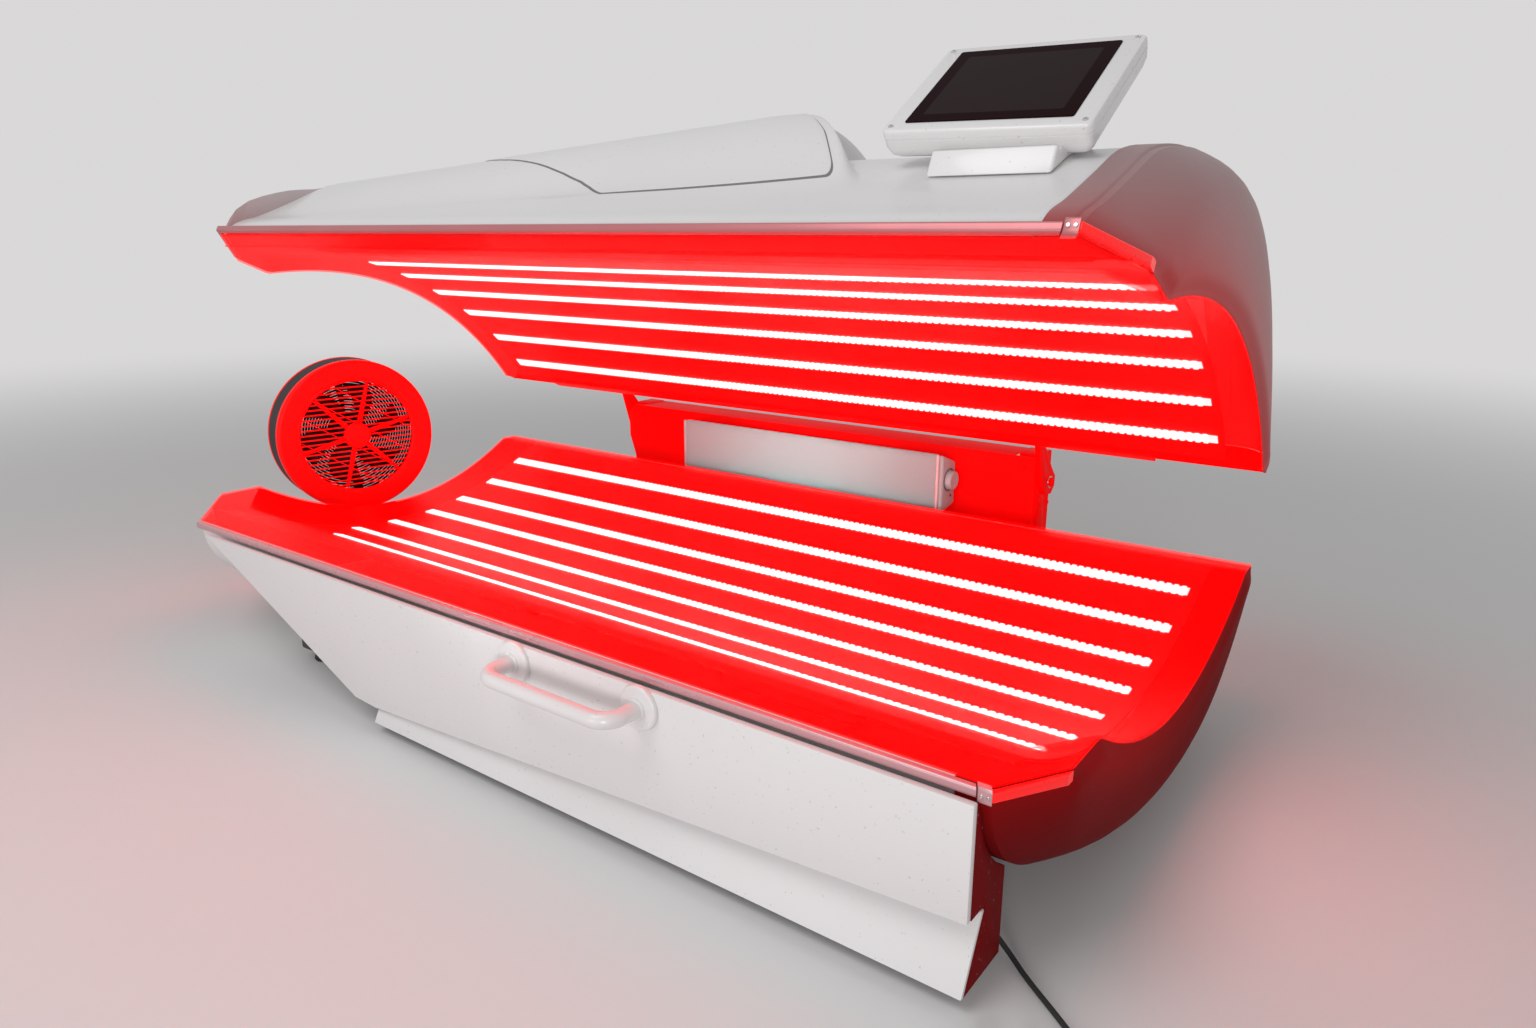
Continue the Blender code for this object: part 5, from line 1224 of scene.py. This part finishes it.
def barBlock(name, left, right, front, width):
    look = barSet
    section = ((front, look["low"]), (front, look["high"]), (look["back"], look["high"] - look["dropTop"]),
               (look["back"], look["low"] + look["riseFoot"]))
    made = loft(name, [[(x, y, z) for y, z in section] for x in (left, right)])
    soften(made, width, 4, 20.0)
    return placed(made, 40.0, bedMatrix)


def makeSoundbar(look):
    left, right, front, low, high, cloth = (look[size] for size in ("left", "right", "front", "low", "high", "cloth"))
    split = right - look["band"]
    dress(barBlock("soundbarBody", left, split, front + cloth, 0.004), barPlastic, "bed", "soundbar_grey",
          "soundbar_body")

    def clothPoint(x, z):
        return Vector((x, front + cloth * 0.5 * abs(2 * (z - low) / (high - low) - 1) ** 6, z))

    grille = skin("soundbarCloth", spread(left, split - gap, 30), spread(low, high, 16), clothPoint, (0, -1, 0),
                  cloth * 0.45, (0.002, 50.0), 40.0, bedMatrix)
    dress(grille, barCloth, "bed", "soundbar_grey", "soundbar_grille")
    band = barBlock("soundbarBand", split, right, front - look["bandProud"], 0.0022)
    dress(band, barBand, "bed", "soundbar_grey")
    for side, start, width in (("Left", left - gap - look["cap"], look["round"] * 0.8),
                               ("Right", right + gap, look["round"])):
        cap = barBlock("soundbarCap" + side, start, start + look["cap"], front + look["capBack"], width)
        dress(cap, barPlastic, "bed", "grey_cap", "soundbar_cap_" + side.lower())
    makeKnob(look)


def makeKnob(look):
    x, y, z = look["knob"]
    r, long, ridges = look["knobRadius"], look["knobLong"], look["knobRidges"]
    # the dark grey ring round the knob is painted shade of the recess that the knob sits in
    rim = lathe("soundbarKnobShadeRing", [(r + out, up) for out, up in look["rim"]], 48,
                seatAt((x - look["sink"], y, z), (1, 0, 0)), 40.0)
    dress(rim, seamAndShadeGrey, "bed", "grey_cap")
    knob = lathe("soundbarKnob", [(r * out, long * up) for out, up in look["knobProfile"]], ridges, Matrix())
    for corner in knob.data.vertices:
        if math.hypot(corner.co.x, corner.co.y) > r * 0.94:
            ridge = round(math.atan2(corner.co.y, corner.co.x) / (2 * math.pi) * ridges) % 2
            ripple = 1 - look["knobRidge"] * ridge
            corner.co.x *= ripple
            corner.co.y *= ripple
    placed(knob, 25.0, seatAt((x, y, z), (1, 0, 0)))
    dress(knob, barPlastic, "soundbar_knob", "soundbar_grey", "soundbar_knob")
    behind, above = look["jack"]
    jack = lathe("soundbarJack", look["jackProfile"], 20,
                 seatAt((x - look["sink"], y + behind, z + above), (1, 0, 0)))
    dress(jack, darkPlasticAndShade, "bed", "dark_plastic")


# Fan at the left end

fanSet = {
    "centre": (-1.22, 0.615, 0.39343), "turn": 15.0, "radius": 0.2225, "mouth": 0.16, "depth": 0.11, "lip": 0.010,
    "wall": 0.004, "frontDeep": 0.022, "rearDeep": 0.012, "split": 0.0002, "barrelIn": 0.0012, "mouthGap": 0.0006,
    # the mouth's bead, outwards from the mouth and up to the front face, and the rear ring's edge from outside
    "bead": ((0.0, -0.0045), (0.0015, -0.0018), (0.004, -0.0006), (0.008, -0.0002), (0.009, -0.0012),
             (0.0105, -0.0012), (0.0115, 0.0)),
    "rearEdge": ((0.0006, 0.0118), (0.0, 0.009), (0.0, 0.003), (0.002, 0.0)),
    "slat": 0.0036, "slatDeep": 0.007, "slatPitch": 0.0144, "slats": 21, "slatTurn": -24.0, "slatBack": 0.0065,
    "wire": 0.0012, "wireDeep": 0.0022, "wirePitch": 0.062, "wires": 6, "wireTurn": -34.0,
    "spoke": 0.008, "spokeTip": 0.6, "spokeFaces": (-0.0165, -0.0115), "spokes": 6, "spokeTurn": 14.0, "hub": 0.038,
    # each blade's pitch and chord, at its foot and at its tip
    "pitch": (36, 20), "chord": (0.046, 0.088), "sweep": 0.35, "blade": 0.002,
    "blades": 6, "bladeFoot": 0.04, "tip": 0.148, "bladePlace": -0.0584,
    "guardWire": (0.0033, 0.0012), "guardWires": 20, "guardFirst": 0.048, "guardPitch": 0.0078, "guardLevel": 0.0035,
    "screw": 0.0045, "screwX": (-1.165, -1.305), "screwY": (0.58, 0.65), "screwZ": 0.1709,
}
fanMatrix = (bedMatrix @ Matrix.Translation(fanSet["centre"])
             @ Matrix.Rotation(-math.radians(fanSet["turn"]), 4, "Z"))
axisTurn = Matrix.Rotation(math.pi / 2, 4, "Y")
fanAxis = fanMatrix @ axisTurn


def makeFan(look):
    r, mouth, lip, wall = (look[size] for size in ("radius", "mouth", "lip", "wall"))
    inner, deep, back = r - wall, -look["frontDeep"], -look["depth"]
    seam = back + look["rearDeep"]
    front = [(mouth, -lip), *((mouth + out, level) for out, level in look["bead"]),
             *arc((r - lip, -lip), lip, 90, 0, 7), (r, deep), (inner, deep), (inner, -lip)]
    deep, outer = deep - look["split"], r - look["barrelIn"]
    barrel = [(inner, deep), (outer, deep), (outer, seam), (inner, seam)]
    rear = [(inner, seam - look["split"]), *((r - into, back + up) for into, up in look["rearEdge"]), (inner, back)]
    # the barrel is the side of the same drum as the red rings: its dark finish is painted shade
    for name, profile, finish, slot, nodes in (("fanRing", front, fanRedLit, "fan_red", ["fan_drum"]),
                                               ("fanBarrel", barrel, darkPlasticAndShade, "dark_plastic", []),
                                               ("fanRearRing", rear, fanRedLit, "fan_red", [])):
        dress(lathe(name, profile, 96, fanAxis, 30.0), finish, "bed", slot, *nodes)
    makeFanGrille(look)
    makeFanRotor(look)
    wide, high = look["guardWire"]
    level, sides, wires = back + look["guardLevel"], [math.pi * n / 3 for n in range(6)], []
    for k in range(look["guardWires"]):
        radius = look["guardFirst"] + look["guardPitch"] * k
        section = [(radius + wide * math.cos(a), level + high * math.sin(a)) for a in sides]
        wires.append(lathe(f"guardWire{k}", section, 64, fanAxis))
    guard = joined("fanGuard", [cadCopy("fanGuardFrame", "fan_rear_guard", 0.001), *wires])
    smooth(guard)
    dress(guard, darkPlasticAndShade, "bed", "dark_plastic", "fan_rear_guard")
    cadPiece("fanMotor", "fan_motor", 0.003, darkPlasticAndShade, "bed", "dark_plastic")
    cadPiece("fanBracket", "fan_bracket", 0.0012, fanRedLit, "bed", "column_paint")
    seats = [seatAt((x, y, look["screwZ"]), (0, 0, 1)) for x in look["screwX"] for y in look["screwY"]]
    screwSet("fanScrews", look["screw"], seats, brightSteel, "bed", "column_paint")


def rowOf(piece, count, pitch, back):
    # one slat or wire becomes an evenly spaced row about the middle
    piece.data.transform(Matrix.Translation((-back, 0.0, -pitch * (count - 1) / 2)))
    repeat(piece, count, (0.0, 0.0, pitch))


def makeFanGrille(look):
    reach, hub, wire, spoke = look["mouth"] - look["mouthGap"], look["hub"], look["wire"], look["spoke"]
    deep, thick = look["slatDeep"] / 2, look["slat"] / 2
    slats = block("fanSlats", (-deep, -reach, -thick), (deep, reach, thick))
    soften(slats, 0.0012, 2)
    slats.data.transform(Matrix.Rotation(math.radians(look["slatTurn"]), 4, "Y"))
    rowOf(slats, look["slats"], look["slatPitch"], look["slatBack"])
    wires = block("fanWires", (-look["wireDeep"], -reach * 1.3, -wire), (0.0, reach * 1.3, wire))
    soften(wires, 0.0005, 1)
    rowOf(wires, look["wires"], look["wirePitch"], wire)
    wires.data.transform(Matrix.Rotation(math.radians(look["wireTurn"]), 4, "X"))
    screen = joined("fanSlats", [slats, wires])
    cutter = lathe("fanMouth", ((0.0, -0.03), (reach, -0.03), (reach, 0.03), (0.0, 0.03)), 96, axisTurn)
    applied(screen, "BOOLEAN", operation="INTERSECT", object=cutter, solver="EXACT", use_self=True)
    bpy.data.objects.remove(cutter, do_unlink=True)
    rear, front = look["spokeFaces"]
    arms = []
    for k in range(look["spokes"]):
        arm = block(f"fanArm{k}", (rear, hub * 0.6, -spoke), (front, reach, spoke))
        for corner in arm.data.vertices:
            if corner.co.y > reach * 0.8:
                corner.co.z *= look["spokeTip"]
        soften(arm, 0.0015, 2)
        turn = math.radians(look["spokeTurn"]) + 2 * math.pi * k / look["spokes"]
        arm.data.transform(Matrix.Rotation(turn, 4, "X"))
        arms.append(arm)
    middle = lathe("fanHub", ((0.0, -0.017), (hub, -0.017), (hub, -0.005), (hub * 0.94, -0.002), (hub * 0.5, 0.0),
                              (0.0, 0.0005)), 48, axisTurn)
    halves = [placed(piece, 30.0, fanMatrix) for piece in (screen, joined("fanSpider", [*arms, middle]))]
    dress(joined("fanGrille", halves), fanRedLit, "bed", "fan_red", "fan_grille")


def makeFanRotor(look):
    foot, tip = look["bladeFoot"], look["tip"]
    blades = []
    for k in range(look["blades"]):
        start = 2 * math.pi * k / look["blades"]

        def point(r, c):
            share = (r - foot) / (tip - foot)
            pitch = math.radians(blend(*look["pitch"], share))
            chord = blend(*look["chord"], ease(share * 1.2))
            sweep = look["sweep"] * share * share
            a = start + sweep + c * chord / 2 * math.cos(pitch) / r
            x = look["bladePlace"] + c * chord / 2 * math.sin(pitch)
            return Vector((x, r * math.cos(a), r * math.sin(a)))

        blade = gridSheet(f"fanBlade{k}", spread(foot, tip, 10), spread(-1.0, 1.0, 8), point)
        thicken(blade, look["blade"])
        soften(blade, 0.0007, 1, 50.0)
        blades.append(blade)
    hub = lathe("rotorHub", ((0.0, -0.0752), (0.045, -0.0752), (0.045, -0.046), (0.041, -0.0418), (0.0, -0.0416)), 40,
                axisTurn)
    rotor = placed(joined("fanRotor", [hub, *blades]), 30.0, fanMatrix)
    dress(rotor, darkPlasticAndShade, "fan_rotor", "tray_alloy", "fan_rotor")


# Tablet on its pedestal

tabletSet = {"x": 0.8446, "wide": 0.3156, "tall": 0.2679, "tilt": 57.07, "turn": 2.76, "foot": (0.1375, 0.6507),
             "round": 0.012, "marginX": 0.031, "marginY": 0.021, "glass": 0.002, "glassRound": 0.004, "field": 0.0222,
             "screw": 0.0042, "screwIn": 0.0125, "screwSink": 0.0006, "leastRound": 0.006,
             # how far each ring stands in from the outline, and its depth, for the glass and for the housing
             "glassLevels": ((0.0, 0.0003), (0.0, 0.0014), (0.0006, 0.002), (0.020, 0.002), (0.0225, 0.002)),
             "levels": ((0.0045, 0.0), (0.0018, -0.0009), (0.0004, -0.0030), (0.0, -0.0055), (0.0, -0.0138),
                        (0.0013, -0.0146), (0.0013, -0.0160), (0.0002, -0.0168), (0.0012, -0.030), (0.006, -0.042),
                        (0.015, -0.0495), (0.028, -0.0535), (0.045, -0.055))}
tabletMatrix = (canopyMatrix @ Matrix.Translation((tabletSet["x"], *tabletSet["foot"]))
                @ Matrix.Rotation(math.radians(tabletSet["turn"]), 4, "Z")
                @ Matrix.Rotation(math.radians(tabletSet["tilt"]), 4, "X"))


def roundedRing(low, high, inset, radius, depth):
    side = inset + radius
    left, foot, right, top = low[0] + side, low[1] + side, high[0] - side, high[1] - side
    corners = ((right, top), (left, top), (left, foot), (right, foot))
    return [(x, y, depth) for k, middle in enumerate(corners) for x, y in arc(middle, radius, 90 * k, 90 * k + 90, 7)]


def makeTablet(look):
    half, tall = look["wide"] / 2, look["tall"]
    housing = loft("tabletHousing", [roundedRing((-half, 0.0), (half, tall), inset,
                                                 max(look["leastRound"], look["round"] - inset * 0.4), depth)
                                     for inset, depth in look["levels"]])
    dress(placed(housing, 30.0, tabletMatrix), whiteShell, "canopy", "white_shell", "tablet_housing")
    mx, my, t, field = (look[size] for size in ("marginX", "marginY", "glass", "field"))
    low, high = (-half + mx, my), (half - mx, tall - my)
    glass = loft("tabletGlass", [roundedRing(low, high, inset, look["glassRound"], depth)
                                 for inset, depth in look["glassLevels"]])
    smooth(glass, 30.0)
    values = []
    for corner in glass.data.vertices:
        x, y, z = corner.co
        inside = low[0] + field < x < high[0] - field and low[1] + field < y < high[1] - field
        values.append(1.0 if inside and z > t * 0.9 else 0.0)
    markPoints(glass, "screenField", values)
    glass.data.transform(tabletMatrix)
    dress(glass, screenGlass, "canopy", "screen_glass", "tablet_glass")
    into = look["screwIn"]
    seats = [tabletMatrix @ Matrix.Translation((side * (half - into), y, -look["screwSink"]))
             for y in (into, tall - into) for side in (-1, 1)]
    screwSet("tabletScrews", look["screw"], seats, brightSteel, "canopy", "white_shell")
    pedestal = cadCopy("tabletPedestal", "tablet_pedestal", 0.004, 3)
    dress(pedestal, whiteShell, "canopy", "white_shell", "tablet_pedestal")


makeShell()
makeAccessCover()
makeCanopyCap(leftCap)
makeCanopyCap(rightCap)
makeBackPlates()
makeBedCap(leftCap)
makeBedCap(rightCap)
makeTub()
print("shells and end caps are made")
makeBedSheet()
makeCanopySheet()
makeTray("bedTray", "bed_led_tray", "bed", traySet["bedLeft"], bedTrayBack, bedTrayHeight, 1, bedMatrix)
makeTray("canopyTray", "canopy_led_tray", "canopy", traySet["canopyLeft"], canopyTrayBack, canopyTrayHeight, -1,
         canopyMatrix)
makeStrips("bedLampStrips", "bed_led_strips", "bed", stripSet["bed"], bedTrayHeight, 1, bedMatrix)
makeStrips("canopyLampStrips", "canopy_led_strips", "canopy", stripSet["canopy"], canopyTrayHeight, -1, canopyMatrix)
print("lit sheets, trays and lamps are made")
makeTrim("bedTrim", "bed_front_trim", "bed", trimSet["bed"], trimAlloyPinkReflection, bedMatrix)
makeTrim("canopyTrim", "canopy_front_trim", "canopy", trimSet["canopy"], trimAlloyRedReflection, canopyMatrix)
makeBase()
makeHandle(handleSet)
makeColumn(columnSet)
makeSoundbar(barSet)
print("trims, base, handle, column and soundbar are made")
makeFan(fanSet)
makeTablet(tabletSet)
print("fan and tablet are made")
